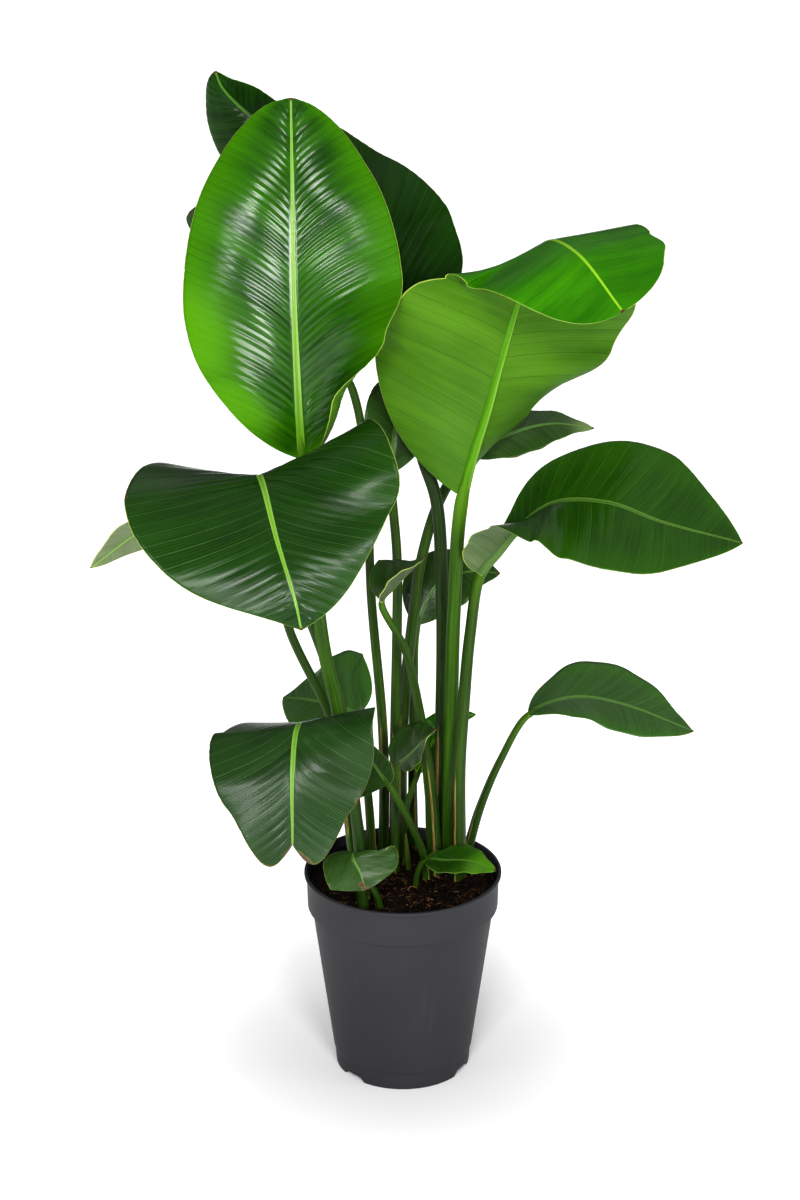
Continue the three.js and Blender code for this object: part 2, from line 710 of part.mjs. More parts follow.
function potGeometry() {
  const p = POT;
  const lipBottom = p.height - p.lipHeight;
  const collarBottom = p.height - p.collarHeight;
  const collarRadius = p.rimRadius - p.collarInset;
  const wallTop = collarRadius - p.stepInset;
  const ledgeRadius = p.footRadius + p.footSlope * p.ledgeHeight;
  const outer = [
    [p.footRadius, 0],
    [ledgeRadius, p.ledgeHeight],
    [ledgeRadius + p.ledgeInset, p.ledgeHeight + 1.5],
    [wallTop, collarBottom - 3],
    [wallTop + 1.5, collarBottom],
    [collarRadius - 1, collarBottom + 1],
    [collarRadius, lipBottom],
    [p.rimRadius, lipBottom + 1],
    [p.rimRadius, p.height - 1],
    [p.rimRadius - 1, p.height],
  ];
  const inner = potInside();
  const under = [
    [0, 0],
    [p.channelInner, 0],
    [p.channelInner + 1.5, p.floorHeight - p.floorThickness],
    [p.channelOuter, p.floorHeight - p.floorThickness],
    [p.channelOuter + 1.5, 0],
  ];
  const profile = [...under, ...outer, ...inner].map(([r, z]) => new THREE.Vector2(r, z));
  const shell = new THREE.LatheGeometry(profile, p.segments);
  shell.rotateX(Math.PI / 2);

  const cuts = [];
  for (const turn of p.notchTurns) {
    const notch = new THREE.BoxGeometry(p.notchWidth, p.notchDepth, 2 * p.notchHeight);
    notch.translate(0, -p.footRadius, 0);
    notch.rotateZ(turn * toRadians);
    cuts.push(solidOf(notch));
  }
  for (let i = 0; i < p.drainCount; i += 1) {
    const drain = new THREE.CylinderGeometry(p.drainRadius, p.drainRadius, 3 * p.floorHeight, 12);
    drain.rotateX(Math.PI / 2);
    drain.translate(p.drainCircle, 0, p.floorHeight);
    drain.rotateZ((i * 360 / p.drainCount) * toRadians);
    cuts.push(solidOf(drain));
  }
  return geometryFrom(wasm.Manifold.difference([solidOf(shell), ...cuts]));
}

// The soil fills the pot to just under the rim. Each sheath stands in a hole with a little clearance.
function soilGeometry(sheaths) {
  const side = potInside().filter(([, z]) => z < SOIL.top).reverse();
  const radiusTop = POT.rimRadius - POT.collarInset - POT.wall - 2 * GAP;
  const rows = [[0, POT.floorHeight + GAP]];
  side.slice(1).forEach(([r, z]) => rows.push([r - 2 * GAP, z + GAP]));
  rows.push([radiusTop - 1, SOIL.top]);
  for (let i = SOIL.rings - 1; i >= 0; i -= 1) {
    rows.push([(radiusTop * i) / SOIL.rings, SOIL.top]);
  }
  const lathe = new THREE.LatheGeometry(rows.map(([r, z]) => new THREE.Vector2(r, z)), SOIL.segments);
  lathe.rotateX(Math.PI / 2);
  const place = lathe.attributes.position;
  for (let i = 0; i < place.count; i += 1) {
    const [x, y, z] = [place.getX(i), place.getY(i), place.getZ(i)];
    if (z > SOIL.top - 1) {
      const lump = Math.sin(x / 3.2 + 1.3) * Math.cos(y / 3.7 - 0.4) + 0.7 * Math.sin(x / 7.7 - y / 5.3);
      place.setZ(i, z + SOIL.crumb * lump);
    }
  }
  return geometryFrom(wasm.Manifold.difference([solidOf(lathe), ...sheaths]));
}

// ---------------------------------------------------------------- the plant in its pot

const group = new THREE.Group();
const paths = LEAVES.map((leaf) => new LeafPath(leaf));
LEAVES.forEach((leaf, i) => {
  addMesh(group, `leaf_${leaf.name}`, bladeGeometry(leaf, paths[i]), material(leaf.colour, 0.4));
  addMesh(group, `stalk_${leaf.name}`, stalkGeometry(leaf, paths[i]), material(0x3f7a26, 0.5));
});
for (const shoot of SHOOTS) {
  addMesh(group, `shoot_${shoot.name}`, shootGeometry(shoot), material(0x8a9a3c, 0.5));
}
const holes = [
  ...LEAVES.map((leaf, i) => solidOf(stalkGeometry(leaf, paths[i], GAP))),
  ...SHOOTS.map((shoot) => solidOf(shootGeometry(shoot, GAP))),
];
addMesh(group, 'soil', soilGeometry(holes), material(0x2b1d14, 0.95));
addMesh(group, 'pot', potGeometry(), material(0x35373c, 0.6));

export default group;
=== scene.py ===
"""Potted bird of paradise: the fine surfaces and the finishes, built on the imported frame.

Sizes are written in millimetres and brought to metres by MM. +Z is up and -Y is the front.
"""

import logging
import math
from collections.abc import Sequence
from dataclasses import dataclass
from enum import Enum

import bmesh
import bpy
import numpy as np
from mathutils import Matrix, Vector

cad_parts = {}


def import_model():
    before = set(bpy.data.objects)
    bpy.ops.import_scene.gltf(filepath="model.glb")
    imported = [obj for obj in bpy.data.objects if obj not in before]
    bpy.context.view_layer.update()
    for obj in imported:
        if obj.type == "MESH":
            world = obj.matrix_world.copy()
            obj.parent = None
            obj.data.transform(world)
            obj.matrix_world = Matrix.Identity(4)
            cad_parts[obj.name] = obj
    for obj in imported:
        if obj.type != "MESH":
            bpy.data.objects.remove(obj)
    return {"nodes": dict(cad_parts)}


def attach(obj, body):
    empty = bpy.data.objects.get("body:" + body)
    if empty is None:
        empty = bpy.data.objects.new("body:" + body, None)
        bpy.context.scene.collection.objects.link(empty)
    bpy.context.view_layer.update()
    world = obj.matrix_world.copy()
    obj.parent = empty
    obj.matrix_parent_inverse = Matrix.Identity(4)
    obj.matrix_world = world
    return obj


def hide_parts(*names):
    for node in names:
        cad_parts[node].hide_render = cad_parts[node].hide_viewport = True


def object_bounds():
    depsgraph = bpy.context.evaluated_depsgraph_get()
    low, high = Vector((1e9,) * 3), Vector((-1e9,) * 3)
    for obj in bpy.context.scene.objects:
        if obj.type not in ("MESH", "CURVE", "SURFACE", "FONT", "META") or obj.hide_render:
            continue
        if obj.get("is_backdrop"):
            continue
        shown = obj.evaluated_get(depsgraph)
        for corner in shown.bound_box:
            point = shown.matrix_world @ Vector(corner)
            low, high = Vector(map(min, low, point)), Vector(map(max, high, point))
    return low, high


log = logging.getLogger("potted_plant")

MM = 0.001
BODY = "root"

# Sizes in mm, and shares of them
PATH_STEPS = 400  # chords by which a leaf's curve is measured
SPREAD = 0.6  # power by which the sweep of a half grows on the way to its margin
RIPPLE_SHIFT = 0.4  # the two margins' waves don't meet
WAVES = 4.5  # waves along each margin
BLADE_THICKNESS = 0.7
MARGIN_SHARE = 0.45  # thickness at the margin, as a share of the middle's
RIB_HALF = 5.2  # half-width of the midrib at the blade's base
RIB_DEPTH = 7.0  # depth of its keel there
RIB_TIP = 0.2  # the rib's size at the tip, as a share of its size at the base
LEAST_MARGIN = 0.4  # what is left of the blade beside the midrib at both ends
VEIN_BEND_SHARE = 0.35  # the share of a half over which the veins bend away
STALK_SIDES = 40
STALK_FLATNESS = 0.92  # thickness as a share of the width
STALK_TAPER = 1.6  # power by which a stalk narrows from its root
STALK_INTO_BLADE = 46.0  # how far a stalk runs on under its midrib
STALK_TIP = 3.4  # radius where a stalk runs into its midrib, and how far it sinks there

# Depth of the fine relief in the finishes, in metres
PLANT_RELIEF = 0.0003
POT_RELIEF = 0.00012
SOIL_RELIEF = 0.003
CRUMB_RELIEF = 0.0004

FINE_GRID = (330, 44)  # rows, and columns in each half, of the large blades
PLAIN_GRID = (130, 13)
VEINS_APART = 40  # how far the vein numbers of two leaves are apart
FINE_VEINS = 4.0  # fine veins for each strong one

Rgb = tuple[float, float, float]
Point = tuple[float, float, float]


# ---------------------------------------------------------------- shader maths


class Sock:
    """A shader value that plain arithmetic can be written with."""

    def __init__(self, shader: "Shader", socket: bpy.types.NodeSocket) -> None:
        """Wraps a socket.

        Args:
            shader: The material's node maker.
            socket: The output socket that holds the value.
        """
        self.shader = shader
        self.socket = socket

    def _math(self, operation: str, *values: "Sock | float") -> "Sock":
        """Adds one Math node.

        Args:
            operation: The node's operation.
            values: Its inputs in order.

        Returns:
            The node's value.
        """
        settings = {"operation": operation}
        return self.shader.node("ShaderNodeMath", settings, dict(enumerate(values)))

    def __add__(self, other: "Sock | float") -> "Sock":
        """Sum."""
        return self._math("ADD", self, other)

    __radd__ = __add__

    def __sub__(self, other: "Sock | float") -> "Sock":
        """Difference."""
        return self._math("SUBTRACT", self, other)

    def __rsub__(self, other: float) -> "Sock":
        """Difference from a plain number."""
        return self._math("SUBTRACT", other, self)

    def __mul__(self, other: "Sock | float") -> "Sock":
        """Product."""
        return self._math("MULTIPLY", self, other)

    __rmul__ = __mul__

    def __truediv__(self, other: "Sock | float") -> "Sock":
        """Quotient."""
        return self._math("DIVIDE", self, other)

    def __rtruediv__(self, other: float) -> "Sock":
        """Quotient of a plain number."""
        return self._math("DIVIDE", other, self)

    def __pow__(self, other: float) -> "Sock":
        """Power."""
        return self._math("POWER", self, other)

    def __abs__(self) -> "Sock":
        """Size without the sign."""
        return self._math("ABSOLUTE", self)

    def fraction(self) -> "Sock":
        """What is left above the whole number."""
        return self._math("FRACT", self)

    def whole(self) -> "Sock":
        """The nearest whole number."""
        return self._math("ROUND", self)

    def ridges(self) -> "Sock":
        """1 at whole numbers and 0 half-way between them."""
        return abs(self.fraction() - 0.5) * 2.0

    def step(self, low: float, high: float) -> "Sock":
        """An eased step.

        Args:
            low: Where the step starts, with 0 before it.
            high: Where it ends, with 1 after it. It may be below low.

        Returns:
            The step, from 0 to 1.
        """
        if low < high:
            values = {"Value": self, "From Min": low, "From Max": high}
            return self.shader.node(
                "ShaderNodeMapRange", {"interpolation_type": "SMOOTHSTEP"}, values, "Result")
        return 1.0 - self.step(high, low)


class Shader:
    """Makes the nodes of one material."""

    def __init__(self, name: str) -> None:
        """Starts an empty material.

        Args:
            name: The material's name.
        """
        self.material = bpy.data.materials.new(name)
        self.material.use_nodes = True
        self.tree = self.material.node_tree
        self.tree.nodes.clear()

    def node(
        self,
        kind: str,
        settings: dict[str, object] | None = None,
        inputs: dict[str | int, object] | None = None,
        output: str | int = 0,
    ) -> Sock:
        """Adds a node.

        Args:
            kind: The node's type.
            settings: Its properties, set first.
            inputs: Values or links by socket name or number.
            output: The socket that is wanted.

        Returns:
            The wanted output.
        """
        made = self.tree.nodes.new(kind)
        for key, value in (settings or {}).items():
            setattr(made, key, value)
        for key, value in (inputs or {}).items():
            if isinstance(value, Sock):
                self.tree.links.new(value.socket, made.inputs[key])
            else:
                made.inputs[key].default_value = value
        return Sock(self, made.outputs[output])

    def mix(self, share: Sock | float, first: object, second: object) -> Sock:
        """Mixes two colours.

        Args:
            share: 0 gives the first colour and 1 the second.
            first: A colour or a socket.
            second: A colour or a socket.

        Returns:
            The mixed colour.
        """
        def ready(colour: object) -> object:
            """A colour as the socket takes it."""
            return colour if isinstance(colour, Sock) else paint(colour)

        inputs = {0: share, 6: ready(first), 7: ready(second)}
        return self.node("ShaderNodeMix", {"data_type": "RGBA"}, inputs, 2)

    def vector(self, x: Sock, y: Sock, z: Sock | float = 0.0) -> Sock:
        """Joins three values to a vector."""
        return self.node("ShaderNodeCombineXYZ", None, {0: x, 1: y, 2: z})

    def attribute(self, name: str) -> list[Sock]:
        """The parts of a piece's own attribute."""
        return self.split(self.node("ShaderNodeAttribute", {"attribute_name": name}, None, "Vector"))

    def split(self, vector: Sock) -> list[Sock]:
        """The three parts of a vector."""
        parts = self.node("ShaderNodeSeparateXYZ", None, {0: vector})
        return [Sock(self, output) for output in parts.socket.node.outputs]

    def place(self) -> Sock:
        """Object coordinates, in metres."""
        return self.node("ShaderNodeTexCoord", None, None, "Object")

    def noise(self, where: Sock, scale: float = 1.0, detail: float = 3.0, rough: float = 0.5) -> Sock:
        """Fractal noise.

        Args:
            where: The coordinates that it is read at.
            scale: How often it changes in one unit.
            detail: Octaves.
            rough: Share of the finer octaves.

        Returns:
            The noise, from 0 to 1.
        """
        inputs = {"Vector": where, "Scale": scale, "Detail": detail, "Roughness": rough}
        return self.node("ShaderNodeTexNoise", None, inputs, "Fac")

    def white(self, value: Sock) -> Sock:
        """A fixed chance value, from 0 to 1, for each value."""
        return self.node("ShaderNodeTexWhiteNoise", {"noise_dimensions": "1D"}, {"W": value}, "Value")

    def surface(
        self,
        colour: Sock,
        roughness: Sock | float,
        height: Sock | None = None,
        depth: float = 0.0,
        constants: dict[str, float] | None = None,
    ) -> bpy.types.Material:
        """Joins the finish to the output.

        Args:
            colour: Base colour.
            roughness: Roughness.
            height: Relief, from 0 to 1.
            depth: What a relief of 1 stands for, in metres.
            constants: Other sockets of the shader and their values.

        Returns:
            The finished material.
        """
        inputs: dict[str | int, object] = {"Base Color": colour, "Roughness": roughness}
        inputs.update(constants or {})
        if height is not None:
            bump = {"Height": height, "Strength": 1.0, "Distance": depth}
            inputs["Normal"] = self.node("ShaderNodeBump", None, bump, "Normal")
        shader = self.node("ShaderNodeBsdfPrincipled", None, inputs, "BSDF")
        end = self.tree.nodes.new("ShaderNodeOutputMaterial")
        self.tree.links.new(shader.socket, end.inputs["Surface"])
        return self.material


def paint(rgb: Rgb) -> tuple[float, float, float, float]:
    """Turns an sRGB colour to scene values.

    Args:
        rgb: Red, green and blue, 0 to 255.

    Returns:
        Linear red, green, blue and alpha.
    """
    def linear(value: float) -> float:
        """One channel."""
        share = value / 255.0
        return share / 12.92 if share <= 0.04045 else ((share + 0.055) / 1.055) ** 2.4

    return (linear(rgb[0]), linear(rgb[1]), linear(rgb[2]), 1.0)


# ---------------------------------------------------------------- finishes


def torn_share(sh: Shader, dry: Sock, phase: Sock, across: Sock) -> Sock:
    """Dryness with an edge that is torn along the veins."""
    return dry + (sh.noise(sh.vector(phase * 2.0, across * 90.0), 1.0, 4.0, 0.7) - 0.5) * 0.7


@dataclass(frozen=True)
class UpperFinish:
    """Upper side of a blade, with veins, midrib, gloss and a thin pale margin."""

    name: str
    deep: Rgb
    light: Rgb
    vein: Rgb
    rib: Rgb = (88, 138, 26)
    rib_edge: Rgb = (124, 160, 72)
    edge: Rgb = (60, 130, 10)
    edge_share: float = 0.0
    margin: Rgb = (150, 168, 80)
    dry: Rgb = (74, 54, 34)
    yellowed: Rgb = (112, 108, 40)
    vein_strength: float = 0.3
    roughness: float = 0.27
    specular: float = 0.14
    coat: float = 0.05
    coat_rough: float = 0.08
    gloss_to: float = 0.9  # the share across at which about half of the gloss has faded
    outer_rough: float = 0.1
    fresh: Rgb = (80, 132, 14)

    def build(self) -> bpy.types.Material:
        """Makes the material."""
        sh = Shader(self.name)
        phase, across, margin = sh.attribute("leaf")
        tipward, out, rib = sh.attribute("rim")
        streak = sh.noise(sh.vector(phase * 1.3, across * 7.0), 1.0, 4.0, 0.55)
        cloud = sh.noise(sh.vector(phase * 0.3, across * 10.0), 1.0, 3.0)
        hair = sh.noise(sh.vector(phase * 15.0, across * 12.0), 1.0, 2.0)
        strength = sh.white(phase.whole())
        near = phase.ridges()
        fine = (phase * FINE_VEINS).ridges()
        beside_rib = abs(rib).step(1.0, 1.3)
        vein = near.step(0.88, 1.0) * (0.3 + 0.7 * strength) * beside_rib
        thin = fine.step(0.65, 1.0) * (0.2 + 0.5 * sh.white((phase * FINE_VEINS).whole()))
        body = sh.mix((0.4 * streak + 0.6 * cloud).step(0.32, 0.68), self.deep, self.light)
        body = sh.mix(out.step(0.45, 1.0) * self.edge_share, body, self.edge)
        # Vein lines: the stronger ones lie in the grooves of the pleats. Where the vein colour is
        # darker than the blade, as on BRIGHT, they are painted shade.
        body = sh.mix(thin * self.vein_strength * 0.5, body, self.vein)
        body = sh.mix(hair.step(0.45, 0.8) * 0.1, body, self.vein)
        body = sh.mix(vein * self.vein_strength, body, self.vein)
        channel = abs(rib).step(0.62, 0.15)
        midrib = sh.mix(channel * 0.8, self.rib_edge, self.rib)
        midrib = sh.mix(sh.noise(sh.vector(phase * 0.6, rib * 2.0), 2.0) * 0.5, midrib, self.rib)
        midrib = sh.mix(tipward.step(0.0, 0.25), self.rib, midrib)
        body = sh.mix(abs(rib).step(1.04, 0.9), body, midrib)
        ragged = margin + sh.noise(sh.vector(phase, across * 3.0), 2.0) * 0.0005
        body = sh.mix(ragged.step(0.0012, 0.0007) * 0.8, body, self.margin)
        dry, fresh, _ = sh.attribute("wear")
        body = sh.mix(fresh.step(0.0, 0.9) * 0.75, body, self.fresh)
        torn = torn_share(sh, dry, phase, across)
        body = sh.mix(torn.step(0.3, 0.5) * 0.6, body, self.yellowed)
        body = sh.mix(torn.step(0.45, 0.6), body, self.dry)
        fade = out.step(self.gloss_to * 0.4, self.gloss_to * 1.7)
        waxy = (1.0 - fade * fade * (3.0 - 2.0 * fade)) * (1.0 - fresh)
        rough = self.roughness + 0.06 * streak - 0.03 * hair + self.outer_rough * (1.0 - waxy)
        relief = 0.5 * vein + 0.3 * thin + 0.2 * hair
        return sh.surface(body, rough, relief, PLANT_RELIEF, {
            "Specular IOR Level": self.specular,
            "Coat Weight": self.coat * waxy,
            "Coat Roughness": self.coat_rough,
        })


@dataclass(frozen=True)
class UnderFinish:
    """Lower side of a blade, matt and paler, with the keel of the midrib, which has a painted highlight
    along its crest and painted shade along its sides.
    """

    name: str
    deep: Rgb
    light: Rgb
    vein: Rgb
    rib: Rgb
    painted_keel_highlight: Rgb = (128, 160, 84)
    margin: Rgb = (176, 190, 92)
    dry: Rgb = (126, 96, 62)
    roughness: float = 0.5
    specular: float = 0.16

    def build(self) -> bpy.types.Material:
        """Makes the material."""
        sh = Shader(self.name)
        phase, across, margin = sh.attribute("leaf")
        tipward, _, rib = sh.attribute("rim")
        # The pale stripe narrows less than the keel on its way to the tip
        rib = rib * (1.0 - (1.0 - RIB_TIP) * tipward) / (1.0 - 0.45 * tipward)
        streak = sh.noise(sh.vector(phase * 1.3, across * 5.0), 1.0, 4.0, 0.6)
        cloud = sh.noise(sh.vector(phase * 0.2, across * 6.0), 1.0, 2.0)
        hair = sh.noise(sh.vector(phase * 12.0, across * 8.0), 1.0, 2.0)
        near = phase.ridges()
        fine = (phase * FINE_VEINS).ridges()
        vein = near.step(0.84, 1.0) * (0.2 + 0.8 * sh.white(phase.whole()))
        body = sh.mix((0.35 * streak + 0.65 * cloud).step(0.3, 0.7), self.deep, self.light)
        body = sh.mix(fine.step(0.6, 1.0) * 0.2, body, self.vein)
        body = sh.mix(hair.step(0.4, 0.8) * 0.15, body, self.vein)
        body = sh.mix(vein * 0.6, body, self.vein)
        # Painted highlight along one side of the keel, and painted shade in the vein colour along both
        # its sides.
        painted_keel_highlight = abs(rib + 0.3).step(0.4, 0.1)
        ridge = sh.mix(painted_keel_highlight * 0.8, self.rib, self.painted_keel_highlight)
        ridge = sh.mix(abs(rib).step(0.75, 1.0) * 0.8, ridge, self.vein)
        body = sh.mix(abs(rib).step(1.15, 0.95), body, ridge)
        body = sh.mix(margin.step(0.0016, 0.0008) * 0.7, body, self.margin)
        dry, _, _ = sh.attribute("wear")
        torn = torn_share(sh, dry, phase, across)
        body = sh.mix(torn.step(0.4, 0.6), body, self.dry)
        rough = self.roughness + 0.14 * streak
        relief = 0.6 * vein + 0.2 * fine.step(0.6, 1.0) + 0.2 * hair
        return sh.surface(body, rough, relief, PLANT_RELIEF, {"Specular IOR Level": self.specular})


@dataclass(frozen=True)
class StalkFinish:
    """Fleshy green stalk with fine streaks, dry edges on the sheath and painted shade towards the soil.
    """

    name: str
    deep: Rgb
    light: Rgb
    pale: Rgb = (96, 128, 56)
    yellowed: Rgb = (150, 140, 70)
    edge: Rgb = (104, 52, 30)
    fresh: Rgb = (74, 122, 16)
    roughness: float = 0.32
    specular: float = 0.16

    def build(self) -> bpy.types.Material:
        """Makes the material."""
        sh = Shader(self.name)
        length, turn, wing = sh.attribute("stalk")
        joint, _, _ = sh.attribute("joint")
        long_streak = sh.noise(sh.vector(length * 3.0, turn * 3.0), 2.0, 4.0, 0.6)
        fine = sh.noise(sh.vector(length * 12.0, turn * 26.0), 1.6, 3.0, 0.55)
        cloud = sh.noise(sh.vector(length * 9.0, turn * 1.2), 1.0, 2.0)
        body = sh.mix(long_streak.step(0.3, 0.7), self.deep, self.light)
        body = sh.mix(fine.step(0.5, 0.85) * 0.35, body, self.pale)
        body = sh.mix(cloud.step(0.5, 0.8) * 0.35, body, self.deep)
        speck = sh.noise(sh.vector(length * 60.0, turn * 30.0), 3.0, 2.0)
        body = sh.mix(speck.step(0.68, 0.78) * 0.3, body, self.pale)
        body = sh.mix(joint * 0.7, body, self.fresh)
        # Painted shade: the stalks darken towards the soil, from 0.46 m down to 0.22 m up.
        low = sh.split(sh.place())[2].step(0.46, 0.22)
        body = sh.mix(low * 0.5, body, self.deep)
        aged = sh.noise(sh.vector(length * 9.0, turn * 0.7), 1.0, 3.0)
        ragged = wing + (sh.noise(sh.vector(length * 40.0, turn * 5.0)) - 0.5) * 0.35
        ragged = ragged * aged.step(0.4, 0.56)
        body = sh.mix(ragged.step(0.25, 0.5) * 0.7, body, self.yellowed)
        body = sh.mix(ragged.step(0.45, 0.75), body, self.edge)
        rough = self.roughness + 0.18 * long_streak + 0.1 * fine
        relief = 0.6 * fine + 0.4 * long_streak
        return sh.surface(body, rough, relief, PLANT_RELIEF, {"Specular IOR Level": self.specular})


@dataclass(frozen=True)
class PotFinish:
    """Matt moulded plastic with a fine grain and faint rub marks."""

    name: str = "pot_plastic"
    base: Rgb = (38, 38, 42)
    worn: Rgb = (54, 54, 58)
    dust: Rgb = (62, 61, 60)

    def build(self) -> bpy.types.Material:
        """Makes the material."""
        sh = Shader(self.name)
        at = sh.place()
        grain = sh.noise(at, 900.0, 2.0, 0.6)
        cloud = sh.noise(at, 9.0, 4.0, 0.55)
        x, y, z = sh.split(at)
        rub = sh.noise(sh.vector(x * 60.0, y * 60.0, z * 5.0), 1.0, 3.0, 0.6)
        body = sh.mix(cloud.step(0.3, 0.75) * 0.35, self.base, self.worn)
        body = sh.mix(grain.step(0.35, 0.8) * 0.25, body, self.worn)
        body = sh.mix(rub.step(0.58, 0.8) * 0.22, body, self.dust)
        rough = 0.46 + 0.16 * cloud + 0.12 * grain
        relief = 0.75 * grain + 0.25 * rub
        return sh.surface(body, rough, relief, POT_RELIEF, {"Specular IOR Level": 0.3})


@dataclass(frozen=True)
class SoilFinish:
    """Dark damp peat with lighter bits."""

    name: str = "soil_peat"
    deep: Rgb = (8, 5, 3)
    light: Rgb = (34, 21, 13)
    bit: Rgb = (100, 66, 38)

    def build(self) -> bpy.types.Material:
        """Makes the material."""
        sh = Shader(self.name)
        at = sh.place()
        clump = sh.noise(at, 70.0, 5.0, 0.65)
        crumb = sh.noise(at, 330.0, 3.0, 0.6)
        bits = sh.noise(at, 620.0, 2.0, 0.5)
        body = sh.mix(clump.step(0.35, 0.7), self.deep, self.light)
        body = sh.mix(crumb.step(0.45, 0.62) * 0.5, body, self.deep)
        body = sh.mix(bits.step(0.66, 0.72) * 0.8, body, self.bit)
        rough = 0.72 + 0.25 * crumb
        relief = 0.5 * clump + 0.5 * crumb
        return sh.surface(body, rough, relief, SOIL_RELIEF, {"Specular IOR Level": 0.1})


@dataclass(frozen=True)
class CrumbFinish:
    """Loose bits of bark, root and fibre, each in a tint of its own."""

    name: str
    dark: Rgb
    light: Rgb

    def build(self) -> bpy.types.Material:
        """Makes the material."""
        sh = Shader(self.name)
        tint, _, _ = sh.attribute("tint")
        at = sh.place()
        grain = sh.noise(at, 800.0, 3.0, 0.6)
        body = sh.mix(tint, self.dark, self.light)
        body = sh.mix(grain.step(0.35, 0.75) * 0.5, body, self.dark)
        return sh.surface(body, 0.7 + 0.25 * grain, grain, CRUMB_RELIEF, {"Specular IOR Level": 0.3})


@dataclass(frozen=True)
class FloorFinish:
    """Pale studio floor with painted light: it glows more away from the part, where less lamp light
    reaches it, and not at all by the part.
    """

    name: str = "studio_floor"
    base: Rgb = (243, 243, 243)
    mottled: Rgb = (244, 244, 243)
    painted_light_near: Rgb = (0, 0, 0)
    painted_light_far: Rgb = (204, 204, 204)

    def build(self) -> bpy.types.Material:
        """Makes the material."""
        sh = Shader(self.name)
        at = sh.place()
        mottle = sh.noise(at, 3.0, 2.0)
        body = sh.mix(mottle * 0.04, self.base, self.mottled)
        x, y, _ = sh.split(at)
        away = (x * x + y * y) ** 0.5
        # Painted light: the glow grows from nothing within 0.1 m of the part to full beyond 0.55 m, so
        # the floor is white away from the part and darker round it.
        painted_floor_light = sh.mix(away.step(0.1, 0.55), self.painted_light_near, self.painted_light_far)
        return sh.surface(body, 0.9, None, 0.0, {
            "Specular IOR Level": 0.0,
            "Emission Color": painted_floor_light,
            "Emission Strength": 1.0,
        })


class Upper(Enum):
    """Finishes of the upper sides."""

    # Its vein colour is darker than the blade: painted shade in the grooves of the pleats.
    BRIGHT = UpperFinish("leaf_upper_bright", (18, 58, 0), (42, 94, 0), (12, 48, 0),
                         rib=(92, 142, 24), rib_edge=(140, 174, 92), edge=(60, 118, 0), edge_share=0.8,
                         vein_strength=0.6, roughness=0.2, specular=0.08, coat=0.52, coat_rough=0.17,
                         gloss_to=0.55, outer_rough=0.28, fresh=(76, 136, 0))
    ARCH = UpperFinish("leaf_upper_arching", (34, 94, 0), (54, 124, 0), (92, 146, 26),
                       rib=(120, 172, 22), rib_edge=(138, 186, 46), vein_strength=0.22, roughness=0.28,
                       specular=0.08)
    DEEP = UpperFinish("leaf_upper_deep", (15, 44, 4), (25, 60, 8), (80, 116, 60),
                       edge=(30, 72, 2), edge_share=0.3, vein_strength=0.32, roughness=0.22,
                       specular=0.16)
    LOW = UpperFinish("leaf_upper_low", (18, 44, 8), (30, 62, 18), (84, 116, 66),
                      rib=(88, 134, 36), rib_edge=(112, 150, 62), edge=(30, 64, 12), edge_share=0.3,
                      margin=(92, 92, 52), vein_strength=0.2, roughness=0.26, specular=0.2)
    MID = UpperFinish("leaf_upper_mid", (24, 60, 2), (36, 76, 6), (84, 120, 56),
                      rib=(58, 96, 26), rib_edge=(90, 122, 54), edge=(46, 92, 2), edge_share=0.4,
                      margin=(120, 136, 70), vein_strength=0.26, roughness=0.26, specular=0.2)
    # Lighter and greyer colours than MID: painted sheen.
    SHEEN = UpperFinish("leaf_upper_sheen", (38, 70, 24), (54, 86, 38), (96, 124, 76),
                        rib=(66, 104, 34), rib_edge=(92, 128, 64), edge=(48, 98, 16), edge_share=0.5,
                        margin=(104, 118, 62), vein_strength=0.3, roughness=0.26, specular=0.24)
    DARK = UpperFinish("leaf_upper_dark", (8, 34, 0), (20, 56, 2), (60, 104, 40),
                       rib=(44, 88, 16), rib_edge=(78, 122, 38), edge=(30, 70, 8), edge_share=0.3,
                       vein_strength=0.3, roughness=0.3, specular=0.1)
    SMALL = UpperFinish("leaf_upper_small", (30, 56, 16), (48, 76, 28), (84, 112, 70),
                        rib=(66, 104, 34), rib_edge=(92, 128, 64), edge=(50, 84, 26), edge_share=0.3,
                        margin=(104, 118, 62), vein_strength=0.3, roughness=0.3, specular=0.2,
                        fresh=(118, 140, 84))


class Under(Enum):
    """Finishes of the lower sides."""

    FRESH = UnderFinish("leaf_under_fresh", (52, 94, 6), (78, 122, 20), (44, 80, 6), (76, 130, 10),
                        painted_keel_highlight=(132, 174, 66))
    GREY = UnderFinish("leaf_under_grey", (92, 110, 72), (128, 142, 106), (80, 100, 62), (104, 134, 66))
    LEAF = UnderFinish("leaf_under_leaf", (62, 82, 46), (94, 112, 74), (52, 72, 40), (76, 104, 50))
    # The grey underside darkened by about a third, for the leaves low in the middle of the plant and by
    # the pot: painted shade.
    GREY_PAINTED_SHADE = UnderFinish("leaf_under_grey_painted_shade", (58, 72, 46), (92, 102, 76), (52, 66, 42), (76, 96, 50))


class StalkTone(Enum):
    """Finishes of the stalks."""

    BRIGHT = StalkFinish("stalk_bright", (30, 60, 2), (56, 92, 6), fresh=(86, 132, 16))
    MID = StalkFinish("stalk_mid", (26, 50, 6), (50, 78, 14), fresh=(62, 98, 10))
    DARK = StalkFinish("stalk_dark", (20, 38, 10), (36, 58, 18), fresh=(44, 72, 18))
    SHOOT = StalkFinish("shoot_tip", (50, 66, 16), (85, 100, 36), edge=(91, 65, 38))


# ---------------------------------------------------------------- the leaves' sizes


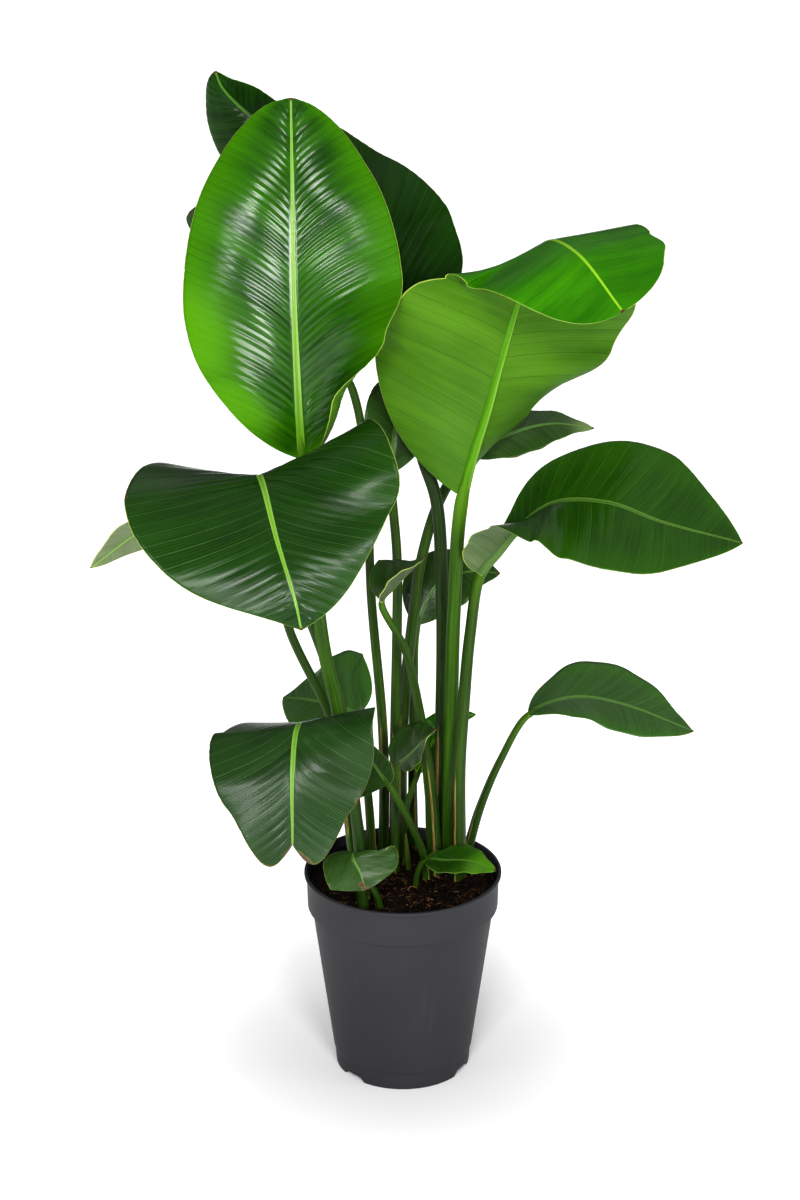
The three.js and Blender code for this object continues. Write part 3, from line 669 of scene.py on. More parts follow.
@dataclass(frozen=True)
class Half:
    """One half of a blade. The lists run evenly from base to tip, in degrees."""

    width: float
    lift: tuple[float, ...]  # how far it rises where it leaves the midrib
    curl: tuple[float, ...] = (0.0, 0.0)  # how far it bends on from there to its margin
    sweep: tuple[float, ...] = (0.0, 5.0, 0.0)  # how far its margin is drawn to the tip
    widest: float = 0.42  # share of the midrib
    blunt: tuple[float, float] = (0.7, 0.8)  # powers at the base and at the tip, blunt below 1
    vein_lean: float = 0.36
    trim: tuple[float, ...] = (1.0, 1.0)  # shares of the width where the outline isn't an even oval

    def width_at(self, s: np.ndarray) -> np.ndarray:
        """Half-width at shares s of the midrib, in millimetres."""
        base, tip = self.blunt
        rise = np.sin(np.minimum(s / self.widest, 1.0) * math.pi / 2.0)
        fall = np.sin(np.minimum((1.0 - s) / (1.0 - self.widest), 1.0) * math.pi / 2.0)
        oval = np.maximum(rise, 0.0) ** base * np.maximum(fall, 0.0) ** tip
        return self.width * oval * along(self.trim, s)


@dataclass(frozen=True)
class Leaf:
    """A leaf: its stalk's and midrib's points, where its upper side looks, its halves and finishes."""

    name: str
    stalk: list[Point]
    radius: tuple[float, float]
    rib: list[Point]
    face: list[Point]
    left: Half
    right: Half
    rib_scale: float = 1.0
    upper: Upper = Upper.SMALL
    under: Under = Under.GREY
    tone: StalkTone = StalkTone.MID
    slot: str = "leaf_dark"
    pitch: float = 10.0  # distance between the stronger veins
    pleat: float = 0.45  # height of the pleats between them
    vein_climb: float = 0.75  # how steeply the veins leave the midrib
    dry: tuple[Point, ...] = ((1.0, 0.0, 3.0),)  # dry spots: share along, share across, reach in mm
    fresh: tuple[Point, ...] = ()  # paler young spots, in the same way
    fine: bool = False  # on the fine grid


LEAVES: list[Leaf] = [
    Leaf(
        "front_top",
        stalk=[
            (-47, -54, 205), (-48, -54, 262), (-58, -55, 320), (-66, -55, 402), (-76, -50, 490),
            (-91, -48, 562), (-101, -36, 640), (-110, -16, 715),
        ],
        radius=(9.5, 7.5),
        rib=[(-116, -8, 785), (-119, -8, 848), (-123, 5, 968), (-124, 30, 1084), (-126, 75, 1183)],
        face=[(0.1, -1, 0.2), (0, -1, 0.25), (0, -1, 0.5)],
        left=Half(
            126, (20, 18, 14, 8), curl=(-20, -30, -30, -30), sweep=(12, 4, 4, 2), blunt=(0.58, 0.5),
        ),
        right=Half(
            126, (0, -20, 8, 10, 10, 8, 8), curl=(130, 160, 50, -5, -20, -25, -30), sweep=(4, 5, 4, 2),
            widest=0.4, blunt=(0.5, 0.56),
        ),
        upper=Upper.BRIGHT, under=Under.FRESH, tone=StalkTone.BRIGHT, slot="leaf_bright", pitch=9.5,
        pleat=1.7, fresh=((0.0, 1.0, 34.0), (0.1, 1.0, 24.0), (0.35, -1.0, 46.0), (0.15, -0.8, 30.0)),
        fine=True,
    ),
    Leaf(
        "back_top",
        stalk=[
            (47, 48, 205), (46, 45, 283), (47, 42, 406), (48, 42, 530), (46, 46, 625), (39, 48, 717),
            (22, 51, 771), (8, 55, 848),
        ],
        radius=(10, 7),
        rib=[
            (-6, 60, 918), (-29, 72, 1004), (-78, 88, 1084), (-134, 100, 1133), (-177, 108, 1160),
            (-205, 112, 1188), (-213, 116, 1206),
        ],
        face=[(0.1, -1, 0.3), (0, -1, 0.4), (0, -1, 0.5)],
        left=Half(
            110, (10, 10, -20), curl=(-20, -30, -60), sweep=(0, 6, 0), widest=0.4, blunt=(0.6, 0.6),
        ),
        right=Half(
            110, (-5, -28, -48, -42, -15), curl=(-10, 0, 0, 0), sweep=(0, 0), widest=0.2,
            blunt=(0.6, 0.8), trim=(1, 1, 1.06, 1.12, 1, 0.85, 1, 1),
        ),
        upper=Upper.DARK, tone=StalkTone.DARK, pleat=1.5, fine=True,
    ),
    Leaf(
        "arching",
        stalk=[(58, 26, 205), (57, 24, 270), (57, 20, 353), (58, 13, 501), (60, 8, 592)],
        radius=(10, 8),
        rib=[
            (69, 5, 735), (100, 15, 848), (134, 25, 972), (156, 0, 1035), (190, -70, 1040),
            (237, -130, 990),
        ],
        face=[(0, 1, 0), (-0.05, 1, 0.05), (-0.2, 0.6, 0.8), (-0.25, -0.3, 0.95), (-0.1, -0.8, 0.7)],
        left=Half(
            142, (70, 38, 12, -14, -14, -14, -10), curl=(30, 20, 10, 0, 0, 5, 10),
            sweep=(15, 15, 10, 0), widest=0.5, blunt=(0.7, 0.5), vein_lean=0.12,
            trim=(1, 1, 1.02, 1.12, 1.16, 1, 0.8, 0.76, 0.84, 1.08, 1.3),
        ),
        right=Half(
            148, (0, 0, -12, -8, -4, -2, 0), curl=(20, 20, 0, 0, 0, 5, 10), sweep=(20, 20, 0, 0),
            widest=0.2, blunt=(0.45, 0.38), vein_lean=0.12, trim=(1, 1, 0.97, 0.9, 0.94, 1, 1),
        ),
        upper=Upper.ARCH, under=Under.FRESH, tone=StalkTone.BRIGHT, slot="leaf_bright", pitch=13.0,
        pleat=0.5, vein_climb=0.25, fine=True,
    ),
    Leaf(
        "front_left",
        stalk=[
            (-47, -35.5, 205), (-48, -35.5, 262), (-56, -35, 340), (-66, -34, 420), (-74, -32, 487),
            (-91, -29, 547), (-119, -24, 628),
        ],
        radius=(8.5, 7),
        rib=[
            (-150, -32, 735), (-162, -66, 784), (-155, -105, 782), (-140, -148, 738), (-119, -185, 679),
            (-112, -190, 645),
        ],
        face=[(0, 0, 1), (0, -0.3, 1), (0, -1, 0.6)],
        left=Half(
            152, (20, 20, 15, 0), curl=(10, 10, 0, 0), sweep=(0, 5, 0, 0), blunt=(0.6, 0.8),
            vein_lean=0.5,
        ),
        right=Half(158, (5, 3, 0, 0), sweep=(0, 0), blunt=(0.6, 0.95), vein_lean=0.05),
        upper=Upper.DEEP, pitch=12.0, pleat=1.4, vein_climb=0.3,
        dry=((1.0, 0.0, 3.0), (0.36, 1.0, 3.0)), fine=True,
    ),
    Leaf(
        "right_high",
        stalk=[(69, 3, 205), (67, 1, 300), (67, -4, 397), (72, -5, 479), (79, -1, 566)],
        radius=(12, 7),
        rib=[
            (91, 5, 640), (111, 2, 669), (132, 0, 696), (174, -10, 732), (235, -30, 739),
            (295, -48, 722), (385, -75, 706),
        ],
        face=[(-0.75, -0.35, 0.6), (-0.3, -0.3, 1), (0, -0.3, 1), (0, -0.35, 1), (0, -0.35, 1)],
        left=Half(98, (0, 10, 15, 15, 10), sweep=(0, 0), widest=0.6, blunt=(1.6, 0.9), vein_lean=0.15),
        right=Half(
            105, (90, 65, 45, 15, -5, -10, -8, -8, -10, -10), sweep=(0, 0, 10, 0), widest=0.45,
            blunt=(0.5, 0.8), vein_lean=0.1,
        ),
        upper=Upper.MID, under=Under.LEAF, pitch=13.0, pleat=0.8, vein_climb=0.3, fine=True,
    ),
    Leaf(
        "right_low",
        stalk=[(72, 44, 205), (76, 42, 247), (83, 40, 278), (96, 35, 330), (118, 30, 390)],
        radius=(8, 4.5),
        rib=[(150, 20, 454), (183, 15, 474), (216, 10, 481), (265, 0, 475), (344, -25, 452)],
        face=[(-0.3, -0.3, 1), (0, -0.3, 1), (0, -0.3, 1)],
        left=Half(58, (0, 10, 10, 5), sweep=(0, 0), widest=0.4, blunt=(0.6, 1.05)),
        right=Half(48, (10, 5, -5, -10), sweep=(0, 0), widest=0.55),
        rib_scale=0.7, upper=Upper.SHEEN, under=Under.LEAF, pitch=12.0, pleat=0.4,
    ),
    Leaf(
        "far_left",
        stalk=[
            (-47, -19, 205), (-48, -19, 262), (-60, -17, 340), (-74, -15, 419), (-89, -12, 474),
            (-130, 0, 562),
        ],
        radius=(7.5, 6),
        rib=[(-165, 30, 660), (-228, 60, 687), (-302, 85, 670), (-376, 95, 614)],
        face=[(0.2, 0.5, 1), (0, 0.7, 0.8), (-0.3, 0.8, 0.6)],
        left=Half(50, (-10, -10)),
        right=Half(50, (0, 0)),
        rib_scale=0.7,
    ),
    Leaf(
        "back_left",
        stalk=[(-24, 70, 205), (-24, 70, 403), (-38, 68, 590), (-44, 72, 760)],
        radius=(7, 5),
        rib=[(-62, 80, 850), (-110, 110, 927), (-180, 140, 1000), (-250, 155, 1035)],
        face=[(0.2, -0.8, 0.5), (0.2, -0.6, 1), (0, -0.3, 1)],
        left=Half(80, (20, 15, 5), widest=0.5, blunt=(0.7, 0.45)),
        right=Half(80, (20, 15, 5), widest=0.5, blunt=(0.7, 0.45)),
        rib_scale=0.7, upper=Upper.SHEEN, under=Under.FRESH, dry=((1.0, 0.0, 4.0),),
    ),
    Leaf(
        "middle_high",
        stalk=[(-9, 62, 205), (-9, 62, 406), (-7, 58, 546), (-7, 58, 642)],
        radius=(8, 5.5),
        rib=[(-14, 60, 745), (-10, 75, 790), (-6, 95, 830), (0, 125, 855)],
        face=[(0.2, -0.8, 0.5), (0.2, -0.6, 1), (0, -0.3, 1)],
        left=Half(40, (20, 15, 5)),
        right=Half(40, (20, 15, 5)),
        rib_scale=0.7,
    ),
    Leaf(
        "right_back",
        stalk=[(-2, 80, 205), (-2, 78, 372), (3, 72, 466), (13, 68, 567), (23, 66, 640), (44, 70, 709)],
        radius=(9, 6.5),
        rib=[(77, 75, 760), (120, 88, 782), (174, 98, 794), (226, 100, 788)],
        face=[(0, -0.3, 1)] * 2,
        left=Half(36, (0, 0), blunt=(0.7, 0.9)),
        right=Half(36, (-20, -15, -5), blunt=(0.7, 0.9)),
        rib_scale=0.7, fresh=((1.0, 0.0, 22.0),),
    ),
    Leaf(
        "middle_curled",
        stalk=[(40, 12, 205), (38, 16, 290), (33, 24, 362), (20, 30, 453), (2, -6, 550)],
        radius=(11, 4.5),
        rib=[(-25, -30, 619), (-13, -34, 636), (6, -34, 656), (25, -28, 672)],
        face=[(-0.6, -0.7, 0.3), (-0.6, -0.6, 0.5), (-0.4, -0.4, 1)],
        left=Half(44, (10, 0, 0), curl=(0, -40, -40), sweep=(10, 5, 0), widest=0.3, blunt=(0.5, 0.9)),
        right=Half(28, (40, 40, 20), curl=(60, 60, 20)),
        rib_scale=0.55, under=Under.GREY_PAINTED_SHADE,
    ),
    Leaf(
        "middle_back",
        stalk=[(14, 88, 205), (12, 92, 377), (14, 88, 465)],
        radius=(7, 4.5),
        rib=[(18, 88, 543), (40, 104, 587), (75, 117, 600), (118, 120, 598)],
        face=[(0, -0.6, 1)] * 2,
        left=Half(40, (20, 15, 5)),
        right=Half(40, (-20, -15, -5)),
        rib_scale=0.55,
    ),
    Leaf(
        "left_back",
        stalk=[(-36, 40, 205), (-42, 43, 332)],
        radius=(7, 4.5),
        rib=[(-56, 30, 448), (-82, 48, 454), (-113, 75, 450), (-147, 110, 439)],
        face=[(0, -0.5, 0.85)] * 2,
        left=Half(45, (-20, -20, -5), blunt=(0.6, 0.8)),
        right=Half(74, (20, 20, 5), sweep=(0, 0), widest=0.3, blunt=(0.5, 0.8)),
        rib_scale=0.55, upper=Upper.SHEEN,
    ),
    Leaf(
        "left_low",
        stalk=[(-47, -72, 205), (-48, -72, 262), (-53, -72, 330), (-62, -72, 400)],
        radius=(7.5, 6),
        rib=[
            (-85, -70, 467), (-113, -95, 494), (-121, -120, 497), (-126, -150, 458), (-126, -180, 378),
        ],
        face=[(0, 0, 1), (0, -0.5, 1), (0, -1, 0.5)],
        left=Half(
            97, (30, 25, 5, 0), curl=(0, -10, 0), sweep=(0, 0, 0, 10, 60), widest=0.4, blunt=(0.5, 0.7),
        ),
        right=Half(104, (-30, -18, -5, 0), sweep=(0, 0, 0, 10, 60), widest=0.4, blunt=(0.5, 0.7)),
        upper=Upper.LOW, pitch=13.0, pleat=0.4,
        dry=((1.0, 1.0, 4.0), (0.97, -1.0, 4.0), (0.7, -1.0, 3.0)), fine=True,
    ),
    Leaf(
        "middle_low",
        stalk=[(28, -3, 205), (26, -5, 275), (6, -10, 331)],
        radius=(6, 4.5),
        rib=[(-17, -8, 375), (-30, 0, 391), (-41, 6, 406), (-56, 10, 424)],
        face=[(-0.3, -1, 0.3), (-0.3, -1, 0.3), (-0.3, -1, 0.5)],
        left=Half(52, (0, 0), sweep=(0, 0), widest=0.3, blunt=(0.5, 0.8)),
        right=Half(22, (20, 20, 0), sweep=(0, 0), widest=0.3, blunt=(0.5, 0.8)),
        rib_scale=0.55, under=Under.GREY_PAINTED_SHADE,
    ),
    Leaf(
        "middle_folded",
        stalk=[(-9, 20, 205), (-9, 21, 303), (-9, 19, 355)],
        radius=(6, 4.5),
        rib=[(-7, 14, 388), (6, 0, 408), (23, -16, 434), (39, -28, 456)],
        face=[(-0.5, -0.7, 0.5), (-0.5, -0.6, 0.6), (-0.4, -0.4, 1)],
        left=Half(42, (10, 0, 0), curl=(0, -30, -30), widest=0.3, blunt=(0.5, 0.9)),
        right=Half(20, (0, 0, 20), curl=(0, 0, 20)),
        rib_scale=0.55, under=Under.GREY_PAINTED_SHADE,
    ),
    Leaf(
        "right_small",
        stalk=[(3, 50, 205), (3, 50, 310)],
        radius=(5, 3.5),
        rib=[(19, 56, 361), (34, 66, 393), (60, 74, 423), (89, 78, 430)],
        face=[(0, -0.6, 1), (0, -0.6, 1), (0, -0.3, 1)],
        left=Half(25, (20, 15, 5)),
        right=Half(25, (0, 0, 5)),
        rib_scale=0.55, upper=Upper.ARCH, under=Under.FRESH, slot="leaf_bright", pitch=8.0, pleat=0.25,
    ),
    Leaf(
        "pot_left",
        stalk=[(-26, -76, 205), (-30, -82, 262), (-52, -86, 301)],
        radius=(6, 4),
        rib=[(-60, -91, 325), (-59, -101, 322), (-50, -110, 307), (-44, -115, 288)],
        face=[(0, -0.3, 1), (0, -0.5, 1), (0, -0.8, 1)],
        left=Half(52, (10, 10, 5), blunt=(0.6, 0.7)),
        right=Half(46, (10, 10, 5), blunt=(0.6, 0.7)),
        rib_scale=0.48, under=Under.GREY_PAINTED_SHADE, pitch=9.0, pleat=0.3, dry=((0.86, 0.1, 3.5), (1.0, 0.0, 4.0)),
    ),
    Leaf(
        "pot_right",
        stalk=[(16, -22, 205), (17, -24, 262)],
        radius=(5, 4),
        rib=[(27, -32, 286), (50, -45, 292), (80, -57, 297), (111, -65, 289)],
        face=[(0, -0.3, 1)] * 2,
        left=Half(25, (10, 10, 5)),
        right=Half(30, (10, 10, 5)),
        rib_scale=0.55, upper=Upper.MID, under=Under.FRESH, slot="leaf_bright", pitch=8.0, pleat=0.25,
        fresh=((0.9, 0.6, 26.0),),
    ),
]


# ---------------------------------------------------------------- shared shaping


def along(values: Sequence[float], s: np.ndarray) -> np.ndarray:
    """Reads a list of evenly spaced values, eased between neighbours.

    Args:
        values: The list.
        s: Shares of its length, from 0 to 1.

    Returns:
        A value for each share.
    """
    table = np.asarray(values, dtype=float)
    place = np.clip(s, 0.0, 1.0) * (len(table) - 1)
    first = np.minimum(place.astype(int), len(table) - 2)
    t = place - first
    eased = t * t * (3.0 - 2.0 * t)
    return table[first] + (table[first + 1] - table[first]) * eased


def smooth(values: np.ndarray, low: float, high: float) -> np.ndarray:
    """A smooth step from 0 at low to 1 at high."""
    t = np.clip((values - low) / (high - low), 0.0, 1.0)
    return t * t * (3.0 - 2.0 * t)


def unit(vectors: np.ndarray) -> np.ndarray:
    """Vectors brought to length 1 along the last axis."""
    return vectors / np.maximum(np.linalg.norm(vectors, axis=-1, keepdims=True), 1e-12)


def lumps(x: np.ndarray, y: np.ndarray, seed: int, waves: int = 24) -> np.ndarray:
    """Smooth seeded relief.

    Args:
        x: First coordinate, in units of about one lump.
        y: Second coordinate, in the same units.
        seed: Chooses the pattern.
        waves: How many waves are summed.

    Returns:
        A height for each place, mostly from -1 to 1.
    """
    chance = np.random.default_rng(seed)
    total = np.zeros(np.broadcast(x, y).shape)
    for _ in range(waves):
        heading = chance.uniform(0.0, 2.0 * math.pi)
        pace = chance.uniform(0.6, 2.2)
        shift = chance.uniform(0.0, 2.0 * math.pi)
        total += np.sin(pace * (x * math.cos(heading) + y * math.sin(heading)) * 2.0 + shift)
    return total * math.sqrt(2.0 / waves) / 2.0


def mesh_object(name: str, bm: bmesh.types.BMesh, *finishes: Enum) -> bpy.types.Object:
    """Turns a bmesh to an object.

    Args:
        name: The piece's name.
        bm: The shape. It is freed.
        finishes: Its finishes, one for each material slot.

    Returns:
        The object, at the origin.
    """
    mesh = bpy.data.meshes.new(name)
    bm.to_mesh(mesh)
    bm.free()
    for finish in finishes:
        mesh.materials.append(FINISHES[finish])
    mesh.polygons.foreach_set("use_smooth", [True] * len(mesh.polygons))
    made = bpy.data.objects.new(name, mesh)
    bpy.context.collection.objects.link(made)
    return made


def place_points(mesh: bpy.types.Mesh, points: np.ndarray) -> None:
    """Moves a mesh's vertices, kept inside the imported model's box."""
    low, high = (np.array(corner) for corner in CAD_BOX)
    inside = np.clip(points, low, high)
    mesh.vertices.foreach_set("co", inside.astype(np.float32).ravel())
    mesh.update()


def flat_points(mesh: bpy.types.Mesh) -> np.ndarray:
    """A mesh's vertices as rows of x, y and z."""
    points = np.empty(len(mesh.vertices) * 3, dtype=np.float32)
    mesh.vertices.foreach_get("co", points)
    return points.reshape(-1, 3).astype(float)


def write_attribute(mesh: bpy.types.Mesh, name: str, *columns: np.ndarray) -> None:
    """Stores up to three numbers for each vertex.

    Args:
        mesh: The mesh.
        name: The attribute's name.
        columns: Its parts. What is left out is 0.
    """
    values = np.zeros((len(mesh.vertices), 3), dtype=np.float32)
    for k, column in enumerate(columns):
        values[:, k] = column
    mesh.attributes.new(name, "FLOAT_VECTOR", "POINT").data.foreach_set("vector", values.ravel())


def from_front(points: np.ndarray) -> tuple[np.ndarray, np.ndarray]:
    """Distance from the z axis, and turn from the front in degrees, of each point."""
    turn = np.degrees(np.arctan2(points[:, 0], -points[:, 1]))
    return np.hypot(points[:, 0], points[:, 1]), turn


def turned_by(turn: np.ndarray, start: float) -> np.ndarray:
    """Degrees from one turn to others, from -180 to 180."""
    return (turn - start + 180.0) % 360.0 - 180.0


def hand_over(piece: bpy.types.Object, slot: str, *nodes: str) -> None:
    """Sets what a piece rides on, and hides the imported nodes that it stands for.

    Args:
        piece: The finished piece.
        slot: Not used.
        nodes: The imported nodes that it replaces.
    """
    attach(piece, BODY)
    if nodes:
        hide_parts(*nodes)
    log.info("%s: %d faces", piece.name, len(piece.data.polygons))


def spun(name: str, section: list[tuple[float, float]], steps: int, finish: Enum) -> bpy.types.Object:
    """Spins a section round the z axis.

    Args:
        name: The piece's name.
        section: Radius and height of its corners in mm, from the axis to the axis.
        steps: Stretches round it.
        finish: Its finish.

    Returns:
        The closed piece.
    """
    bm = bmesh.new()
    verts = [bm.verts.new((radius * MM, 0.0, height * MM)) for radius, height in section]
    edges = [bm.edges.new(pair) for pair in zip(verts, verts[1:])]
    bmesh.ops.spin(
        bm, geom=verts + edges, cent=(0.0, 0.0, 0.0), axis=(0.0, 0.0, 1.0),
        angle=2.0 * math.pi, steps=steps, use_merge=True,
    )
    bmesh.ops.remove_doubles(bm, verts=bm.verts, dist=1e-6)
    bmesh.ops.recalc_face_normals(bm, faces=bm.faces)
    return mesh_object(name, bm, finish)


def tube(bm: bmesh.types.BMesh, sides: int, steps: int) -> None:
    """Makes a closed straight tube along z, one unit long for each step.

    Args:
        bm: An empty bmesh, where it is made.
        sides: Vertices round it.
        steps: Stretches along it.
    """
    bmesh.ops.create_circle(bm, cap_ends=False, radius=1.0, segments=sides)
    first = edges = bm.edges[:]
    for _ in range(steps):
        grown = bmesh.ops.extrude_edge_only(bm, edges=edges)["geom"]
        edges = [part for part in grown if isinstance(part, bmesh.types.BMEdge)]
        verts = {part for part in grown if isinstance(part, bmesh.types.BMVert)}
        bmesh.ops.translate(bm, verts=list(verts), vec=(0.0, 0.0, 1.0))
        edges = [edge for edge in edges if verts.issuperset(edge.verts)]
    bmesh.ops.contextual_create(bm, geom=first)
    bmesh.ops.contextual_create(bm, geom=edges)
    bmesh.ops.recalc_face_normals(bm, faces=bm.faces)


def repeated(template: bmesh.types.BMesh, count: int) -> bmesh.types.BMesh:
    """Lays copies of a small shape in one bmesh, one after another.

    Args:
        template: The shape. It is freed.
        count: How many copies.

    Returns:
        The copies, all in the same place.
    """
    single = bpy.data.meshes.new("template")
    template.to_mesh(single)
    template.free()
    bm = bmesh.new()
    for _ in range(count):
        bm.from_mesh(single)
    bpy.data.meshes.remove(single)
    return bm


# ---------------------------------------------------------------- leaves


class LeafPath:
    """The curve of a leaf, up its stalk and on along its midrib, measured by its length in mm."""

    def __init__(self, leaf: Leaf) -> None:
        """Lays the curve.

        Args:
            leaf: The leaf's sizes.
        """
        points = np.array(leaf.stalk + leaf.rib, dtype=float)
        first = 2.0 * points[0] - points[1]
        last = 2.0 * points[-1] - points[-2]
        self.points = np.vstack([first, points, last])
        self.spans = len(points) - 1
        self.steps = np.linspace(0.0, 1.0, PATH_STEPS + 1)
        sampled = self.at_step(self.steps)
        chords = np.linalg.norm(np.diff(sampled, axis=0), axis=1)
        self.lengths = np.concatenate([[0.0], np.cumsum(chords)])
        self.length = float(self.lengths[-1])
        self.base = float(np.interp(len(leaf.stalk) / self.spans, self.steps, self.lengths))
        self.midrib = self.length - self.base
        self.face = np.array(leaf.face, dtype=float)

    def at_step(self, t: np.ndarray) -> np.ndarray:
        """Points of the curve by share of its spans.

        Args:
            t: Shares, from 0 to 1.

        Returns:
            One point for each share.
        """
        place = np.clip(t, 0.0, 1.0) * self.spans
        span = np.minimum(place.astype(int), self.spans - 1)
        w = (place - span)[:, None]
        p0, p1, p2, p3 = (self.points[span + k] for k in range(4))

        def gap(a: np.ndarray, b: np.ndarray) -> np.ndarray:
            """Spacing of two points for an even curve."""
            return np.sqrt(np.linalg.norm(b - a, axis=1, keepdims=True))

        d0, d1, d2 = gap(p0, p1), gap(p1, p2), gap(p2, p3)
        start = ((p1 - p0) / d0 - (p2 - p0) / (d0 + d1) + (p2 - p1) / d1) * d1
        end = ((p2 - p1) / d1 - (p3 - p1) / (d1 + d2) + (p3 - p2) / d2) * d1
        bend = -3.0 * p1 + 3.0 * p2 - 2.0 * start - end
        twist = 2.0 * p1 - 2.0 * p2 + start + end
        return p1 + start * w + bend * w**2 + twist * w**3

    def point(self, distance: np.ndarray) -> np.ndarray:
        """Points at distances along the curve."""
        return self.at_step(np.interp(distance, self.lengths, self.steps))

    def tangent(self, distance: np.ndarray) -> np.ndarray:
        """Directions at distances along the curve."""
        reach = 0.25
        return unit(self.point(np.minimum(distance + reach, self.length))
                    - self.point(np.maximum(distance - reach, 0.0)))

    def frame(self, s: np.ndarray) -> tuple[np.ndarray, np.ndarray, np.ndarray, np.ndarray]:
        """Place, forward, side and up of the blade at shares s of the midrib."""
        distance = self.base + s * self.midrib
        forward = self.tangent(distance)
        look = np.stack([along(self.face[:, k], s) for k in range(3)], axis=1)
        up = unit(look - forward * np.sum(look * forward, axis=1, keepdims=True))
        return self.point(distance), forward, np.cross(forward, up), up


@dataclass
class BladeBuilder:
    """Makes the blade of one leaf as a thin closed solid with pleats, veins and a keeled midrib."""

    leaf: Leaf
    path: LeafPath
    index: int
    rows: int
    cells: int  # columns in each half beside the midrib
    rib_cells: int = 3
    pleats_from: float = 12.0  # mm beside the midrib in which the pleats set in
    pleats_lost: float = 0.68  # share of their height that is gone by the margin
    swell: float = 2.2  # height of the slow swelling, in pleats
    nick: float = 0.35  # depth of the margin's nicks
    ridge: float = 0.7  # height of the two ridges along the midrib's channel
    ridge_at: float = 0.8  # share of the midrib's half-width
    ridge_width: float = 0.22
    end_margin: float = 0.8  # least distance that the margin's colours read at the base and the tip
    tip_reach: float = 400.0  # mm for the whole midrib, where they read the distance from the tip

    def __post_init__(self) -> None:
        """Lays out the rows along the midrib and the columns across it, in mm."""
        even = np.linspace(0.0, 1.0, self.rows + 1)
        self.s = 0.6 * even + 0.4 * (0.5 - 0.5 * np.cos(math.pi * even))  # closer at both ends
        self.rib = (RIB_HALF * self.leaf.rib_scale * (1.0 - (1.0 - RIB_TIP) * self.s))[:, None]
        reach = self.cells + self.rib_cells
        column = np.arange(-reach, reach + 1)
        self.on_left = column < 0
        self.on_rib = np.abs(column) <= self.rib_cells
        inner = np.minimum(np.abs(column), self.rib_cells) / self.rib_cells
        outer = np.maximum(np.abs(column) - self.rib_cells, 0) / self.cells
        share = 0.4 * outer + 0.6 * outer**1.8  # closer beside the midrib
        self.width = np.maximum(self.by_side("width_at"), self.rib + LEAST_MARGIN)
        self.reach = self.rib * inner + (self.width - self.rib) * share
        self.out = np.clip(self.reach / self.width, 0.0, 1.0)
        self.d = np.where(self.on_left, -self.reach, self.reach)  # signed distance across

    def by_side(self, name: str) -> np.ndarray:
        """Reads one quality of the halves at each place.

        Args:
            name: The quality: a number, a list from base to tip, or a method of the share along.

        Returns:
            The left half's values on the left, and the right half's on the right.
        """
        values = []
        for half in (self.leaf.left, self.leaf.right):
            value = getattr(half, name)
            if callable(value):
                value = value(self.s)[:, None]
            elif isinstance(value, tuple):
                value = along(value, self.s)[:, None]
            values.append(value)
        return np.where(self.on_left, *values)

    def shape_grid(self) -> bpy.types.Object:
        """Makes the flat closed sheet that the blade is shaped from.

        Returns:
            A piece whose x is the column, y the row and z the side, 1 for the upper one.
        """
        columns = 2 * (self.cells + self.rib_cells)
        bm = bmesh.new()
        upper = bmesh.ops.create_grid(bm, x_segments=columns, y_segments=self.rows, size=0.5)
        bmesh.ops.scale(bm, verts=upper["verts"], vec=(columns, self.rows, 1.0))
        bmesh.ops.translate(bm, verts=upper["verts"], vec=(columns / 2, self.rows / 2, 1.0))
        copied = bmesh.ops.duplicate(bm, geom=bm.verts[:] + bm.edges[:] + bm.faces[:])["geom"]
        lower = [part for part in copied if isinstance(part, bmesh.types.BMVert)]
        faces = [part for part in copied if isinstance(part, bmesh.types.BMFace)]
        bmesh.ops.translate(bm, verts=lower, vec=(0.0, 0.0, -1.0))
        bmesh.ops.reverse_faces(bm, faces=faces)
        for face in faces:
            face.material_index = 1
        open_edges = [edge for edge in bm.edges if edge.is_boundary]
        bmesh.ops.bridge_loops(bm, edges=open_edges)
        bmesh.ops.recalc_face_normals(bm, faces=bm.faces)
        return mesh_object(f"{self.leaf.name}_blade", bm, self.leaf.upper, self.leaf.under)

    def sheet(self) -> tuple[np.ndarray, np.ndarray]:
        """The blade's middle surface.

        Returns:
            The points, and how far each has been carried forward by the lean of the veins.
        """
        place, forward, side, up = (part[:, None] for part in self.path.frame(self.s))
        start = np.radians(self.by_side("lift"))
        turn = np.radians(self.by_side("curl")) * self.out
        end = start + turn
        straight = np.abs(turn) < 1e-4
        safe = np.where(straight, 1.0, turn)
        bent_across = self.reach * (np.sin(end) - np.sin(start)) / safe
        bent_rise = self.reach * (np.cos(start) - np.cos(end)) / safe
        across = np.where(straight, self.reach * np.cos(start), bent_across)
        rise = np.where(straight, self.reach * np.sin(start), bent_rise)
        lean = self.reach * self.out**SPREAD * np.tan(np.radians(self.by_side("sweep")))
        shift = np.where(self.on_left, 0.0, RIPPLE_SHIFT)
        ripple = np.sin(2.0 * math.pi * (WAVES * self.s[:, None] + shift)) * self.out**3
        points = (
            place + side * (np.sign(self.d) * across)[..., None]
            + up * (rise + ripple)[..., None] + forward * lean[..., None]
        )
        return points, lean

    def spots(self, spots: Sequence[Point]) -> np.ndarray:
        """How far each place is inside some soft round spots.

        Args:
            spots: Share along the midrib, share across and reach in mm of each spot.

        Returns:
            From 0 to 1, which is the middle of a spot.
        """
        inside = np.zeros_like(self.d)
        for along_share, across_share, reach in spots:
            down = (self.s[:, None] - along_share) * self.path.midrib
            off = np.hypot(down, self.d - across_share * self.width)
            inside = np.maximum(inside, 1.0 - smooth(off, 0.0, reach * 2.0))
        return inside

